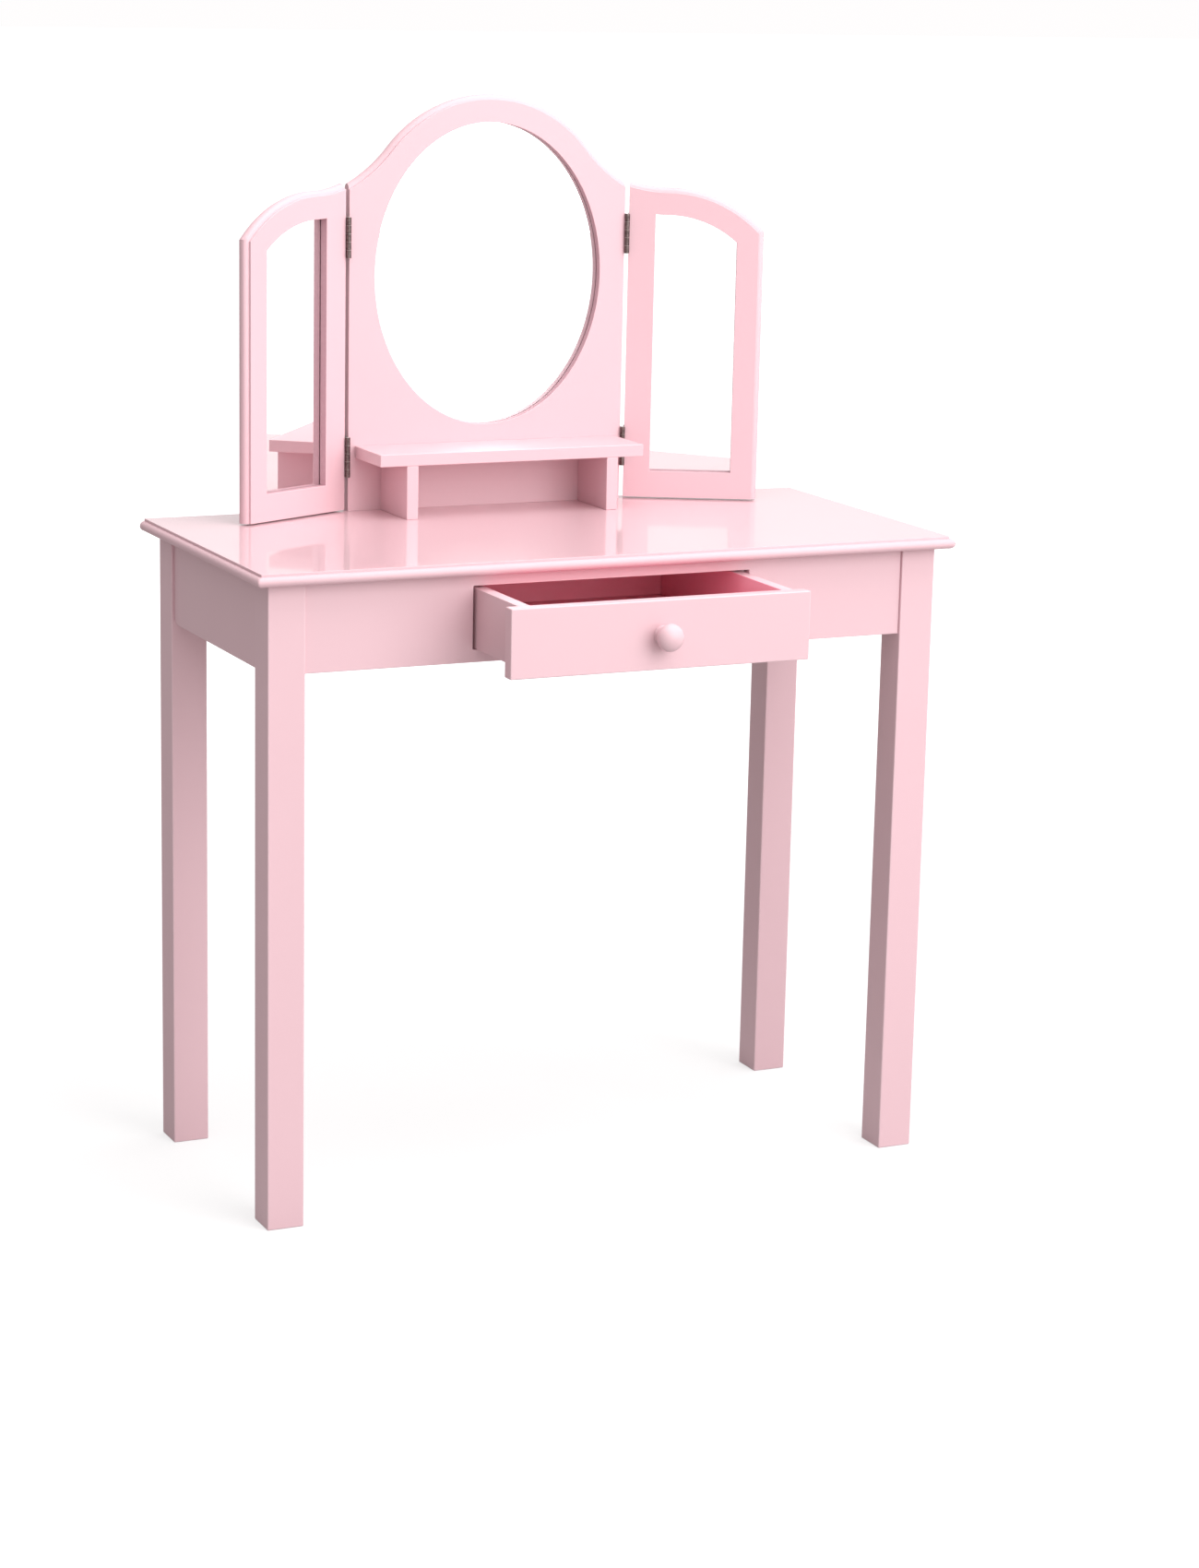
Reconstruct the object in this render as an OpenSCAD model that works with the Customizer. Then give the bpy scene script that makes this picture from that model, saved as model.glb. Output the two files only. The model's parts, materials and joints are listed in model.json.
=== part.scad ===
// Child's dressing table: a low table with one drawer, a fixed arched centre
// mirror behind a small shelf, and two mirror wings that fold on butt hinges.
// Origin: on the floor, under the middle of the box that the whole piece
// fills with its drawer partly open. +X is the user's right when facing the
// mirror, +Y points to the back, +Z is up. Millimetres and degrees.

/* [Table] */
// Width of the top over its moulded side edges
top_w = 720; // [620:5:900]
// Depth of the top from its moulded front edge to its plain back edge
top_d = 340; // [280:5:420]
// Height of the top surface above the floor
table_h = 625; // [500:5:760]
// Thickness of the top board
top_t = 12; // [10:0.5:18]
// Height of the upright step above the rounded part of the top's edge
edge_step_h = 2.5; // [1:0.5:4]
// Width of a square leg
leg_w = 36; // [30:1:46]
// Distance from the top's outer edges to the legs
leg_inset = 15; // [8:1:25]
// Thickness of the four aprons
apron_t = 12; // [10:1:18]
// How far the aprons sit back from the legs' outer faces
apron_setback = 3; // [0:0.5:5]
// Height of the apron rail below the drawer opening
rail_h = 12; // [8:1:20]
// Height of the apron strip above the drawer opening
strip_h = 12; // [8:1:20]

/* [Corner braces] */
// Thickness of a diagonal corner brace
brace_t = 15; // [10:1:20]
// Height of a diagonal corner brace
brace_h = 60; // [40:1:70]
// Distance between a leg's inner corner and its brace
brace_gap = 7; // [3:1:12]
// Radius of the hanger bolts that pull the legs to the braces
bolt_r = 3; // [2:0.5:4]
// Depth of a hanger bolt in the leg
bolt_grip = 34; // [20:1:38]
// Upright distance between the two bolts of one leg
bolt_pitch = 30; // [20:1:36]
// Length of the screws that hold a brace to its aprons
brace_screw_l = 24; // [18:1:24]
// Distance from a brace screw's head to the apron that it enters
brace_screw_in = 8; // [7:0.5:9]

/* [Drawer] */
// Width of the drawer box over its sides
drawer_w = 280; // [200:5:360]
// Thickness of the drawer's sides and back
drawer_side_t = 12; // [9:1:15]
// Height of the drawer's sides
drawer_side_h = 57; // [45:1:80]
// Gap between a drawer side and its opening and guide
drawer_side_gap = 3; // [1:0.5:5]
// Gap between the drawer's sides and the runners they slide on
slide_gap = 0.5; // [0.3:0.1:1]
// Gap between the drawer's sides and the top of the opening
drawer_top_gap = 2.5; // [1:0.5:5]
// Gap behind the closed drawer
drawer_rear_gap = 26; // [5:1:60]
// Width by which the front panel laps over each side of the box
front_lap = 12; // [8:1:16]
// Distance by which the front panel hangs below the sides
front_drop = 8; // [4:1:10]
// Thickness of the drawer's front panel
front_t = 14; // [12:1:18]
// Thickness of the drawer's bottom panel
bottom_t = 3; // [3:0.5:6]
// Height of the bottom panel above the sides' lower edges
bottom_lift = 6; // [4:1:12]
// Depth of the grooves that hold the bottom panel
groove_d = 5; // [3:0.5:7]
// Distance by which the drawer stands open
drawer_open = 94; // [1:1:200]
// Length of the knob
knob_l = 25; // [18:1:32]
// Radius of the knob's head
knob_r = 13; // [10:0.5:16]
// Radius of the knob's neck
knob_neck_r = 7.5; // [6:0.5:9]

/* [Mirrors] */
// Width of the fixed centre panel
panel_w = 298; // [240:2:360]
// Thickness of the three mirror frames
frame_t = 14; // [12:0.5:18]
// Distance from the panel's back to the table top's back edge
panel_back_gap = 1; // [0:0.5:10]
// Width of the wood around each mirror
rim_w = 27; // [24:1:34]
// Height of the hinge edges above the table top
shoulder_h = 322; // [260:2:400]
// Rise of the centre arch above the hinge edges
arch_rise = 86; // [50:1:110]
// Distance from the panel's corners to the circle of the arch, at shoulder height
shoulder_run = 21; // [12:1:30]
// Radius of the hollow curves beside the arch and beside the hinges
hollow_r = 145; // [100:1:200]
// Height of the oval mirror's lower edge above the table top
oval_foot_h = 82; // [70:1:110]
// Width of a folding wing
wing_w = 137; // [110:1:170]
// Distance from the hinge edge to the lowest point of the wing's hollow curve
dip_run = 40; // [25:1:50]
// Drop from that lowest point to the wing's outer corner
corner_drop = 42; // [20:1:60]
// Gap between the wings and the table top
wing_gap = 1.5; // [0.5:0.5:4]
// Angle by which the wings are folded forward
wing_fold = 26; // [0:1:95]
// Width of the moulding along the frames' outer edges
bead_w = 5; // [3:0.5:9]
// Depth of the moulding below the frames' front faces
bead_d = 3; // [1:0.5:6]
// Thickness of the mirror glass
glass_t = 3; // [2:0.5:4]
// Thickness of the backing boards
backing_t = 3; // [2:0.5:4]
// Width of glass hidden behind the rim
glass_lap = 6; // [4:0.5:8]
// Width of backing board that laps over the frame beyond the glass
backing_lap = 7; // [6:0.5:8]
// Gap around the glass and the backing boards in their rebates
rebate_gap = 0.2; // [0.1:0.1:0.5]

/* [Shelf] */
// Height of the shelf's upper face above the table top
shelf_h = 65; // [50:1:68]
// Depth of the shelf in front of the centre panel
shelf_d = 70; // [50:1:100]
// Thickness of the shelf
shelf_t = 12; // [9:1:15]
// Distance from the panel's edges to the shelf's ends
shelf_end_gap = 7; // [7:1:20]
// Thickness of the two shelf supports
support_t = 12; // [9:1:15]
// Distance from the shelf's ends to the supports
support_inset = 28; // [10:1:60]

/* [Hinges] */
// Length of a butt hinge
hinge_l = 40; // [30:1:50]
// Thickness of a hinge leaf
leaf_t = 1.2; // [0.8:0.1:1.3]
// Radius of a hinge barrel
barrel_r = 2.5; // [2.2:0.1:2.6]
// Radius of a hinge pin
pin_r = 1.25; // [1:0.05:1.4]
// Gap between the frames that the two leaves fill
hinge_gap = 3; // [2.8:0.1:4]
// Running clearance of a pin in the wing's knuckles
pin_clear = 0.05; // [0.02:0.01:0.1]
// Gap between neighbouring knuckles and around the barrel
knuckle_gap = 0.3; // [0.2:0.05:0.5]
// Height of the lower hinges' middle above the table top
low_hinge_h = 54; // [40:1:70]
// Distance from the shoulders down to the upper hinges' middle
high_hinge_drop = 52; // [40:1:80]

/* [Screws] */
// Shank radius of the assembly screws
screw_r = 2; // [1.5:0.25:2.5]
// Shank radius of the small screws in the hinges and backing boards
small_screw_r = 1.25; // [1:0.05:1.5]
// Clearance around every screw, bolt and dowel
hole_clear = 0.05; // [0.02:0.01:0.2]
// Radius of the drawer's dowels
dowel_r = 3; // [2:0.5:4]

/* [Hidden] */
$fn = 32;

// Colours: painted board, mirror, plain board, bright steel, hinge metal
PAINT = [0.95, 0.74, 0.78];
MIRROR = [0.80, 0.86, 0.88];
BOARD = [0.66, 0.52, 0.38];
STEEL = [0.72, 0.72, 0.74];
HINGE = [0.42, 0.36, 0.34];

// Table
back_y = top_d / 2;
leg_x = top_w / 2 - leg_inset;
leg_y = top_d / 2 - leg_inset;
leg_h = table_h - top_t;
leg_in_x = leg_x - leg_w;
leg_in_y = leg_y - leg_w;
apron_x = leg_x - apron_setback;
apron_y = leg_y - apron_setback;
apron_in_x = apron_x - apron_t;
apron_in_y = apron_y - apron_t;
opening_w = drawer_w + 2 * drawer_side_gap;
opening_h = drawer_side_h + slide_gap + drawer_top_gap;
apron_h = rail_h + opening_h + strip_h;
apron_foot_z = leg_h - apron_h;
opening_foot_z = apron_foot_z + rail_h;
edge_r = (top_t - edge_step_h) / 2;
side_foot_round = 10;

// A brace lies between two slanted lines, x + y = brace_outer and brace_inner
brace_outer = leg_in_x + leg_in_y - brace_gap * sqrt(2);
brace_inner = brace_outer - brace_t * sqrt(2);

// Drawer
drawer_foot_z = opening_foot_z + slide_gap;
drawer_l = 2 * apron_y - apron_t - drawer_rear_gap;
front_back_y = -apron_y - drawer_open;
front_h = drawer_side_h + front_drop;
front_foot_z = drawer_foot_z - front_drop;
knob_z = front_foot_z + front_h / 2;
runner_t = 12;
runner_h = rail_h + 40;
dowel_l = 26;
dowel_blind = 8;
knob_screw_r = 2;
knob_screw_grip = 10;

// The middle of the whole piece from front to back
centre_y = (apron_y + drawer_open + front_t + knob_l - back_y) / 2;

// Mirror panels
panel_y = back_y - panel_back_gap - frame_t;
arch_c = panel_w / 2 - shoulder_run;
arch_r = (arch_c * arch_c + arch_rise * arch_rise) / (2 * arch_rise);
arch_z = shoulder_h + arch_rise - arch_r;
oval_rx = panel_w / 2 - rim_w;
oval_rz = (shoulder_h + arch_rise - rim_w - oval_foot_h) / 2;
oval_z = oval_foot_h + oval_rz;
oval_sides = 72;
arc_steps = 14;
reveal_d = frame_t - glass_t - backing_t;
wing_dip_z = shoulder_h - hollow_r + sqrt(hollow_r * hollow_r - dip_run * dip_run);
crown_run = wing_w - dip_run;
crown_r = (crown_run * crown_run + corner_drop * corner_drop) / (2 * corner_drop);
wing_x = panel_w / 2 + hinge_gap;

// Centre of the hollow curve beside the arch: it touches the arch's circle
// and passes through the panel's shoulder corner
corner_x = panel_w / 2;
corner_z = shoulder_h - arch_z;
both_r = arch_r + hollow_r;
corner_d = sqrt(corner_x * corner_x + corner_z * corner_z);
along = (both_r * both_r - hollow_r * hollow_r + corner_d * corner_d) / (2 * corner_d);
across = sqrt(both_r * both_r - along * along);
hollow_x = (along * corner_x - across * corner_z) / corner_d;
hollow_z = arch_z + (along * corner_z + across * corner_x) / corner_d;
touch_a = atan2(hollow_z - arch_z, hollow_x);

// Hinges
hinge_x = panel_w / 2 + hinge_gap / 2;
hinge_y = panel_y - barrel_r;
hinge_zs = [table_h + low_hinge_h, table_h + shoulder_h - high_hinge_drop];
knuckles = 5;
knuckle_l = hinge_l / knuckles;
leaf_w = frame_t - 2;
leaf_hole_pitch = 24;
hinge_screw_l = 14;
backing_screw_l = 8;

// Shelf
shelf_w = panel_w - 2 * shelf_end_gap;
support_x = shelf_w / 2 - support_inset - support_t;
support_h = shelf_h - shelf_t;
shelf_screw_l = 38;

// Moves a part from the table's own middle to the origin
module placed() translate([0, centre_y, 0]) children();

// Mirrors a right-hand or back-right shape to the side or corner asked for
module on_side(sx) mirror([sx < 0 ? 1 : 0, 0, 0]) children();
module on_corner(sx, sy) on_side(sx) mirror([0, sy < 0 ? 1 : 0, 0]) children();

// Stands a flat outline upright on the table top, its front face at y
module upright(y, t) translate([0, y + t, table_h]) rotate([90, 0, 0]) linear_extrude(t) children();

// A countersunk screw, its head's face at z = 0 and its point downwards
module screw(r, l, grow = 0) {
    translate([0, 0, -r - grow]) cylinder(h = r + grow, r1 = r + grow, r2 = 2 * r + grow);
    translate([0, 0, r - l]) cylinder(h = l - 1.5 * r, r = r + grow);
    translate([0, 0, -l - grow]) cylinder(h = r + grow, r1 = 0.3 * r, r2 = r + grow);
}
module cross_recess(r) {
    for (a = [0, 90])
        rotate([0, 0, a]) translate([-1.1 * r, -0.22 * r, -0.6 * r]) cube([2.2 * r, 0.44 * r, r]);
}
module recessed_screw(r, l) {
    difference() {
        screw(r, l);
        cross_recess(r);
    }
}

// ---- Outlines ----

// Points on an arc, from its second point to its last
function arc(c, r, a0, a1) =
    [for (i = [1:arc_steps]) let (a = a0 + (a1 - a0) * i / arc_steps) [c[0] + r * cos(a), c[1] + r * sin(a)]];
function mirrored(p) = [for (i = [len(p) - 1:-1:0]) [-p[i][0], p[i][1]]];

// Centre panel's outline, with its top curves set in by i
function hollow_end(i) = 180 + acos((hollow_x - corner_x) / (hollow_r + i));
function hollow_curve(i) = let (a = hollow_end(i), r = hollow_r + i) concat(
    [[corner_x, hollow_z + r * sin(a)]],
    arc([hollow_x, hollow_z], r, a, 180 + touch_a));
function panel_outline(i) = concat(
    [[-corner_x, 0], [corner_x, 0]],
    hollow_curve(i),
    [for (k = [1:2 * arc_steps - 1]) let (a = touch_a + (180 - 2 * touch_a) * k / (2 * arc_steps))
        [(arch_r - i) * cos(a), arch_z + (arch_r - i) * sin(a)]],
    mirrored(hollow_curve(i)));
function oval_outline(grow) =
    [for (k = [0:oval_sides - 1]) let (a = 360 * k / oval_sides)
        [(oval_rx + grow) * cos(a), oval_z + (oval_rz + grow) * sin(a)]];

// Wing outline from the hinge edge outwards: its hinge side, foot, outer
// side and top curve are set in by the four values
function wing_outline(hinge_in, foot_in, outer_in, top_in) =
    let (
        u0 = wing_x + hinge_in,
        u1 = wing_x + wing_w - outer_in,
        dip_u = wing_x + dip_run,
        cr = crown_r - top_in,
        hr = hollow_r + top_in,
        crown_end = 90 - asin((u1 - dip_u) / cr),
        hollow_start = 270 - asin((dip_u - u0) / hr),
        crown_z = wing_dip_z - crown_r
    )
    concat(
        [[u0, wing_gap + foot_in], [u1, wing_gap + foot_in]],
        [[u1, crown_z + cr * sin(crown_end)]],
        arc([dip_u, crown_z], cr, crown_end, 90),
        arc([dip_u, wing_dip_z + hollow_r], hr, 270, hollow_start));

// ---- Table ----

// Edge section of the top, from one long side to the other
function top_section(w) = concat(
    [[-w / 2 + edge_r, -top_t], [w / 2 - edge_r, -top_t]],
    [for (k = [1:7]) let (a = -90 + 180 * k / 8)
        [w / 2 - edge_r + edge_r * cos(a), -top_t + edge_r + edge_r * sin(a)]],
    [[w / 2 - edge_r, -edge_step_h], [w / 2 - edge_r, 0], [-w / 2 + edge_r, 0], [-w / 2 + edge_r, -edge_step_h]],
    [for (k = [1:7]) let (a = 90 + 180 * k / 8)
        [-w / 2 + edge_r + edge_r * cos(a), -top_t + edge_r + edge_r * sin(a)]]);

// The plain back edge comes from cutting off a board made one edge too deep
module top_board() {
    spare = 2 * edge_r;
    intersection() {
        translate([-top_w / 2, spare / 2, table_h]) rotate([90, 0, 90])
            linear_extrude(top_w) polygon(top_section(top_d + spare));
        translate([0, back_y, table_h]) rotate([90, 0, 0])
            linear_extrude(top_d) polygon(top_section(top_w));
    }
}
module table_top() {
    color(PAINT) placed() difference() {
        top_board();
        panel_screw_places() screw(screw_r, shelf_screw_l, hole_clear);
    }
}

module bolt_places(sx, sy) {
    for (z = [-1, 1])
        on_corner(sx, sy)
            translate([leg_in_x, leg_in_y, leg_h - brace_h / 2 + z * bolt_pitch / 2])
                rotate([0, 0, 45]) rotate([0, 90, 0]) children();
}
module bolt_holes(sx, sy) {
    bolt_places(sx, sy) translate([0, 0, -brace_gap - 2 * brace_t])
        cylinder(h = brace_gap + 2 * brace_t + bolt_grip, r = bolt_r + hole_clear);
}
module leg(sx, sy) {
    color(PAINT) placed() difference() {
        on_corner(sx, sy) translate([leg_in_x, leg_in_y, 0]) cube([leg_w, leg_w, leg_h]);
        bolt_holes(sx, sy);
    }
}
module leg_front_left() leg(-1, -1);
module leg_front_right() leg(1, -1);
module leg_back_left() leg(-1, 1);
module leg_back_right() leg(1, 1);

module apron_front() {
    color(PAINT) placed() difference() {
        translate([-leg_in_x, -apron_y, apron_foot_z]) cube([2 * leg_in_x, apron_t, apron_h]);
        translate([-opening_w / 2, -apron_y - 1, opening_foot_z]) cube([opening_w, apron_t + 2, opening_h]);
        brace_screw_holes();
    }
}
module apron_back() {
    color(PAINT) placed() difference() {
        translate([-leg_in_x, apron_in_y, apron_foot_z]) cube([2 * leg_in_x, apron_t, apron_h]);
        runner_screw_places() screw(screw_r, shelf_screw_l, hole_clear);
        brace_screw_holes();
    }
}
module side_apron(sx) {
    r = side_foot_round;
    color(PAINT) placed() difference() {
        on_side(sx) translate([apron_in_x, -leg_in_y, apron_foot_z]) cube([apron_t, 2 * leg_in_y, apron_h]);
        on_side(sx) translate([apron_in_x - 1, leg_in_y - r, apron_foot_z - 1]) difference() {
            cube([apron_t + 2, r + 1, r + 1]);
            translate([-1, 0, r + 1]) rotate([0, 90, 0]) cylinder(h = apron_t + 4, r = r);
        }
        brace_screw_holes();
    }
}
module apron_left() side_apron(-1);
module apron_right() side_apron(1);

// A diagonal board whose mitred ends meet two aprons
module brace(sx, sy) {
    color(PAINT) placed() difference() {
        on_corner(sx, sy) translate([0, 0, leg_h - brace_h]) linear_extrude(brace_h)
            polygon([
                [apron_in_x, brace_outer - apron_in_x], [brace_outer - apron_in_y, apron_in_y],
                [brace_inner - apron_in_y, apron_in_y], [apron_in_x, brace_inner - apron_in_x]
            ]);
        bolt_holes(sx, sy);
        brace_screw_holes();
    }
}
module brace_front_left() brace(-1, -1);
module brace_front_right() brace(1, -1);
module brace_back_left() brace(-1, 1);
module brace_back_right() brace(1, 1);

// Two screws at each end of a brace, which run into the aprons at 45 degrees
module brace_screw_places() {
    side = apron_in_x - brace_screw_in;
    end = apron_in_y - brace_screw_in;
    for (sx = [-1, 1])
        for (sy = [-1, 1])
            for (z = [-1, 1])
                for (p = [[side, brace_inner - side], [brace_inner - end, end]])
                    on_corner(sx, sy) translate([p[0], p[1], leg_h - brace_h / 2 + z * bolt_pitch / 2])
                        rotate([0, 0, 45]) rotate([0, -90, 0]) children();
}
module brace_screw_holes() brace_screw_places() screw(screw_r, brace_screw_l, hole_clear);
module brace_screws() {
    color(STEEL) placed() brace_screw_places() recessed_screw(screw_r, brace_screw_l);
}

washer_t = 1.5;
washer_r = 2.3 * bolt_r;
nut_r = 1.9 * bolt_r;
nut_h = 1.7 * bolt_r;
bolt_tail = 3;
nut_z = brace_gap + brace_t + washer_t + nut_h;
module all_bolt_places() {
    for (sx = [-1, 1])
        for (sy = [-1, 1])
            bolt_places(sx, sy) children();
}
module leg_bolts() {
    color(STEEL) placed() all_bolt_places()
        translate([0, 0, -nut_z - bolt_tail]) cylinder(h = nut_z + bolt_tail + bolt_grip - 1, r = bolt_r);
}
module leg_washers() {
    color(STEEL) placed() all_bolt_places()
        translate([0, 0, -brace_gap - brace_t - washer_t]) difference() {
            cylinder(h = washer_t, r = washer_r);
            translate([0, 0, -1]) cylinder(h = washer_t + 2, r = bolt_r + hole_clear);
        }
}
module leg_nuts() {
    color(STEEL) placed() all_bolt_places()
        translate([0, 0, -nut_z]) difference() {
            cylinder(h = nut_h, r = nut_r, $fn = 6);
            translate([0, 0, -1]) cylinder(h = nut_h + 2, r = bolt_r + hole_clear);
        }
}

// Blocks glued into the corner between the aprons and the top
block_w = 14;
block_l = 50;
module glue_blocks() {
    x = (opening_w / 2 + leg_in_x) / 2;
    color(BOARD) placed() {
        for (sx = [-1, 1]) {
            for (sy = [-1, 1])
                on_corner(sx, sy) translate([x - block_l, apron_in_y - block_w, leg_h - block_w])
                    cube([block_l, block_w, block_w]);
            on_side(sx) translate([apron_in_x - block_w, -block_l / 2, leg_h - block_w])
                cube([block_w, block_l, block_w]);
        }
    }
}

// An L-shaped rail: the drawer's side slides on its ledge, beside its guide
module runner(sx) {
    ledge_x = drawer_w / 2 - drawer_side_t;
    guide_x = opening_w / 2;
    color(BOARD) placed() difference() {
        on_side(sx) translate([0, apron_in_y, apron_foot_z]) rotate([90, 0, 0]) linear_extrude(2 * apron_in_y)
            polygon([
                [ledge_x, 0], [guide_x + runner_t, 0], [guide_x + runner_t, runner_h],
                [guide_x, runner_h], [guide_x, rail_h], [ledge_x, rail_h]
            ]);
        runner_screw_places() screw(screw_r, shelf_screw_l, hole_clear);
    }
}
module runner_left() runner(-1);
module runner_right() runner(1);
module runner_screw_places() {
    for (sx = [-1, 1])
        for (z = [rail_h, runner_h - rail_h])
            translate([sx * (opening_w + runner_t) / 2, apron_y, apron_foot_z + z])
                rotate([-90, 0, 0]) children();
}
module runner_screws() {
    color(STEEL) placed() runner_screw_places() recessed_screw(screw_r, shelf_screw_l);
}

// ---- Centre mirror ----

// Turns a screw so that its head lies on the frames' back faces
module on_frame_back(x, z) translate([x, panel_y + frame_t, table_h + z]) rotate([-90, 0, 0]) children();
module hinge_screw_places(leaf_side) {
    for (z = hinge_zs)
        for (k = [-1, 1])
            translate([hinge_x + leaf_side * (hinge_gap / 2 - leaf_t), panel_y + leaf_w / 2, z + k * leaf_hole_pitch / 2])
                rotate([0, -leaf_side * 90, 0]) children();
}
module center_backing_screw_places() {
    ring = glass_lap + backing_lap / 2;
    for (k = [0:11])
        on_frame_back((oval_rx + ring) * cos(30 * k + 15), oval_z + (oval_rz + ring) * sin(30 * k + 15))
            children();
}
module shelf_screw_places() {
    for (x = [-0.4, 0, 0.4]) on_frame_back(x * shelf_w, shelf_h - shelf_t / 2) children();
}

module center_frame() {
    color(PAINT) placed() difference() {
        union() {
            upright(panel_y, frame_t) polygon(panel_outline(bead_w));
            upright(panel_y + bead_d, frame_t - bead_d) polygon(panel_outline(0));
        }
        upright(panel_y - 1, frame_t) polygon(oval_outline(0));
        upright(panel_y + reveal_d, frame_t) polygon(oval_outline(glass_lap + rebate_gap));
        upright(panel_y + reveal_d + glass_t, frame_t)
            polygon(oval_outline(glass_lap + backing_lap + rebate_gap));
        center_backing_screw_places() screw(small_screw_r, backing_screw_l, hole_clear);
        shelf_screw_places() screw(screw_r, shelf_screw_l, hole_clear);
        panel_screw_places() screw(screw_r, shelf_screw_l, hole_clear);
        for (sx = [-1, 1])
            on_side(sx) hinge_screw_places(-1) screw(small_screw_r, hinge_screw_l, hole_clear);
    }
}
module center_mirror() {
    color(MIRROR) placed() upright(panel_y + reveal_d, glass_t) polygon(oval_outline(glass_lap));
}
module center_backing() {
    color(BOARD) placed() difference() {
        upright(panel_y + reveal_d + glass_t, backing_t) polygon(oval_outline(glass_lap + backing_lap));
        center_backing_screw_places() screw(small_screw_r, backing_screw_l, hole_clear);
    }
}
module center_backing_screws() {
    color(STEEL) placed() center_backing_screw_places() recessed_screw(small_screw_r, backing_screw_l);
}

// ---- Shelf ----

module shelf_board() {
    color(PAINT) placed() difference() {
        translate([-shelf_w / 2, panel_y - shelf_d, table_h + shelf_h - shelf_t])
            cube([shelf_w, shelf_d, shelf_t]);
        shelf_screw_places() screw(screw_r, shelf_screw_l, hole_clear);
    }
}
module shelf_support(sx) {
    color(PAINT) placed() difference() {
        on_side(sx) translate([support_x, panel_y - shelf_d, table_h]) cube([support_t, shelf_d, support_h]);
        panel_screw_places() screw(screw_r, shelf_screw_l, hole_clear);
    }
}
module shelf_support_left() shelf_support(-1);
module shelf_support_right() shelf_support(1);
module shelf_screws() {
    color(STEEL) placed() shelf_screw_places() recessed_screw(screw_r, shelf_screw_l);
}

// Screws that rise through the table top into the panel and the supports
module panel_screw_places() {
    for (x = [-0.36, 0, 0.36])
        translate([x * panel_w, panel_y + frame_t / 2, leg_h]) rotate([180, 0, 0]) children();
    for (sx = [-1, 1])
        for (k = [0.3, 0.7])
            translate([sx * (support_x + support_t / 2), panel_y - k * shelf_d, leg_h])
                rotate([180, 0, 0]) children();
}
module panel_screws() {
    color(STEEL) placed() panel_screw_places() recessed_screw(screw_r, shelf_screw_l);
}

// ---- Hinges ----

// One leaf with its share of the knuckles, as on a right-hand hinge.
// leaf_side is -1 for the leaf on the centre panel and 1 for the wing's
module leaf(leaf_side, z, first, bore) {
    plate_x = leaf_side < 0 ? -hinge_gap / 2 : hinge_gap / 2 - leaf_t;
    translate([hinge_x, hinge_y, z - hinge_l / 2]) difference() {
        union() {
            translate([plate_x, barrel_r + knuckle_gap, 0])
                cube([leaf_t, leaf_w - knuckle_gap, hinge_l]);
            for (k = [first:2:knuckles - 1])
                translate([0, 0, k * knuckle_l + knuckle_gap / 2]) {
                    cylinder(h = knuckle_l - knuckle_gap, r = barrel_r);
                    translate([plate_x, 0, 0])
                        cube([leaf_t, barrel_r + 2 * knuckle_gap, knuckle_l - knuckle_gap]);
                }
        }
        translate([0, 0, -1]) cylinder(h = hinge_l + 2, r = bore);
    }
}
module fixed_leaf(sx, i) {
    color(HINGE) placed() on_side(sx) difference() {
        leaf(-1, hinge_zs[i], 0, pin_r);
        hinge_screw_places(-1) screw(small_screw_r, hinge_screw_l, hole_clear);
    }
}
module hinge_fixed_leaf_lower_left() fixed_leaf(-1, 0);
module hinge_fixed_leaf_upper_left() fixed_leaf(-1, 1);
module hinge_fixed_leaf_lower_right() fixed_leaf(1, 0);
module hinge_fixed_leaf_upper_right() fixed_leaf(1, 1);
module hinge_pins(sx) {
    color(HINGE) placed() on_side(sx) for (z = hinge_zs)
        translate([hinge_x, hinge_y, z - hinge_l / 2]) cylinder(h = hinge_l, r = pin_r);
}
module hinge_pins_left() hinge_pins(-1);
module hinge_pins_right() hinge_pins(1);
module hinge_screws_center() {
    color(STEEL) placed() for (sx = [-1, 1])
        on_side(sx) hinge_screw_places(-1) recessed_screw(small_screw_r, hinge_screw_l);
}

// ---- Wings ----

// Folds a right-hand wing forward about its hinge line
module folded(sx) {
    placed() on_side(sx) translate([hinge_x, hinge_y, 0]) rotate([0, 0, -wing_fold])
        translate([-hinge_x, -hinge_y, 0]) children();
}
module wing_window(hidden) {
    i = rim_w - hidden;
    polygon(wing_outline(i, i, i, i));
}
module wing_backing_screw_places() {
    ring = glass_lap + backing_lap / 2;
    u0 = wing_x + rim_w - ring;
    u1 = wing_x + wing_w - rim_w + ring;
    z0 = wing_gap + rim_w - ring;
    z1 = wing_dip_z - corner_drop - rim_w;
    for (u = [u0, u1])
        for (k = [0:3]) on_frame_back(u, z0 + 6 + (z1 - z0 - 6) * k / 3) children();
    on_frame_back((u0 + u1) / 2, z0) children();
    on_frame_back(wing_x + dip_run, wing_dip_z - rim_w + ring) children();
}
module wing_frame(sx) {
    color(PAINT) folded(sx) difference() {
        union() {
            upright(panel_y, frame_t) polygon(wing_outline(0, 0, bead_w, bead_w));
            upright(panel_y + bead_d, frame_t - bead_d) polygon(wing_outline(0, 0, 0, 0));
        }
        upright(panel_y - 1, frame_t) wing_window(0);
        upright(panel_y + reveal_d, frame_t) wing_window(glass_lap + rebate_gap);
        upright(panel_y + reveal_d + glass_t, frame_t) wing_window(glass_lap + backing_lap + rebate_gap);
        wing_backing_screw_places() screw(small_screw_r, backing_screw_l, hole_clear);
        hinge_screw_places(1) screw(small_screw_r, hinge_screw_l, hole_clear);
    }
}
module wing_frame_left() wing_frame(-1);
module wing_frame_right() wing_frame(1);
module wing_mirror(sx) {
    color(MIRROR) folded(sx) upright(panel_y + reveal_d, glass_t) wing_window(glass_lap);
}
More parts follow.
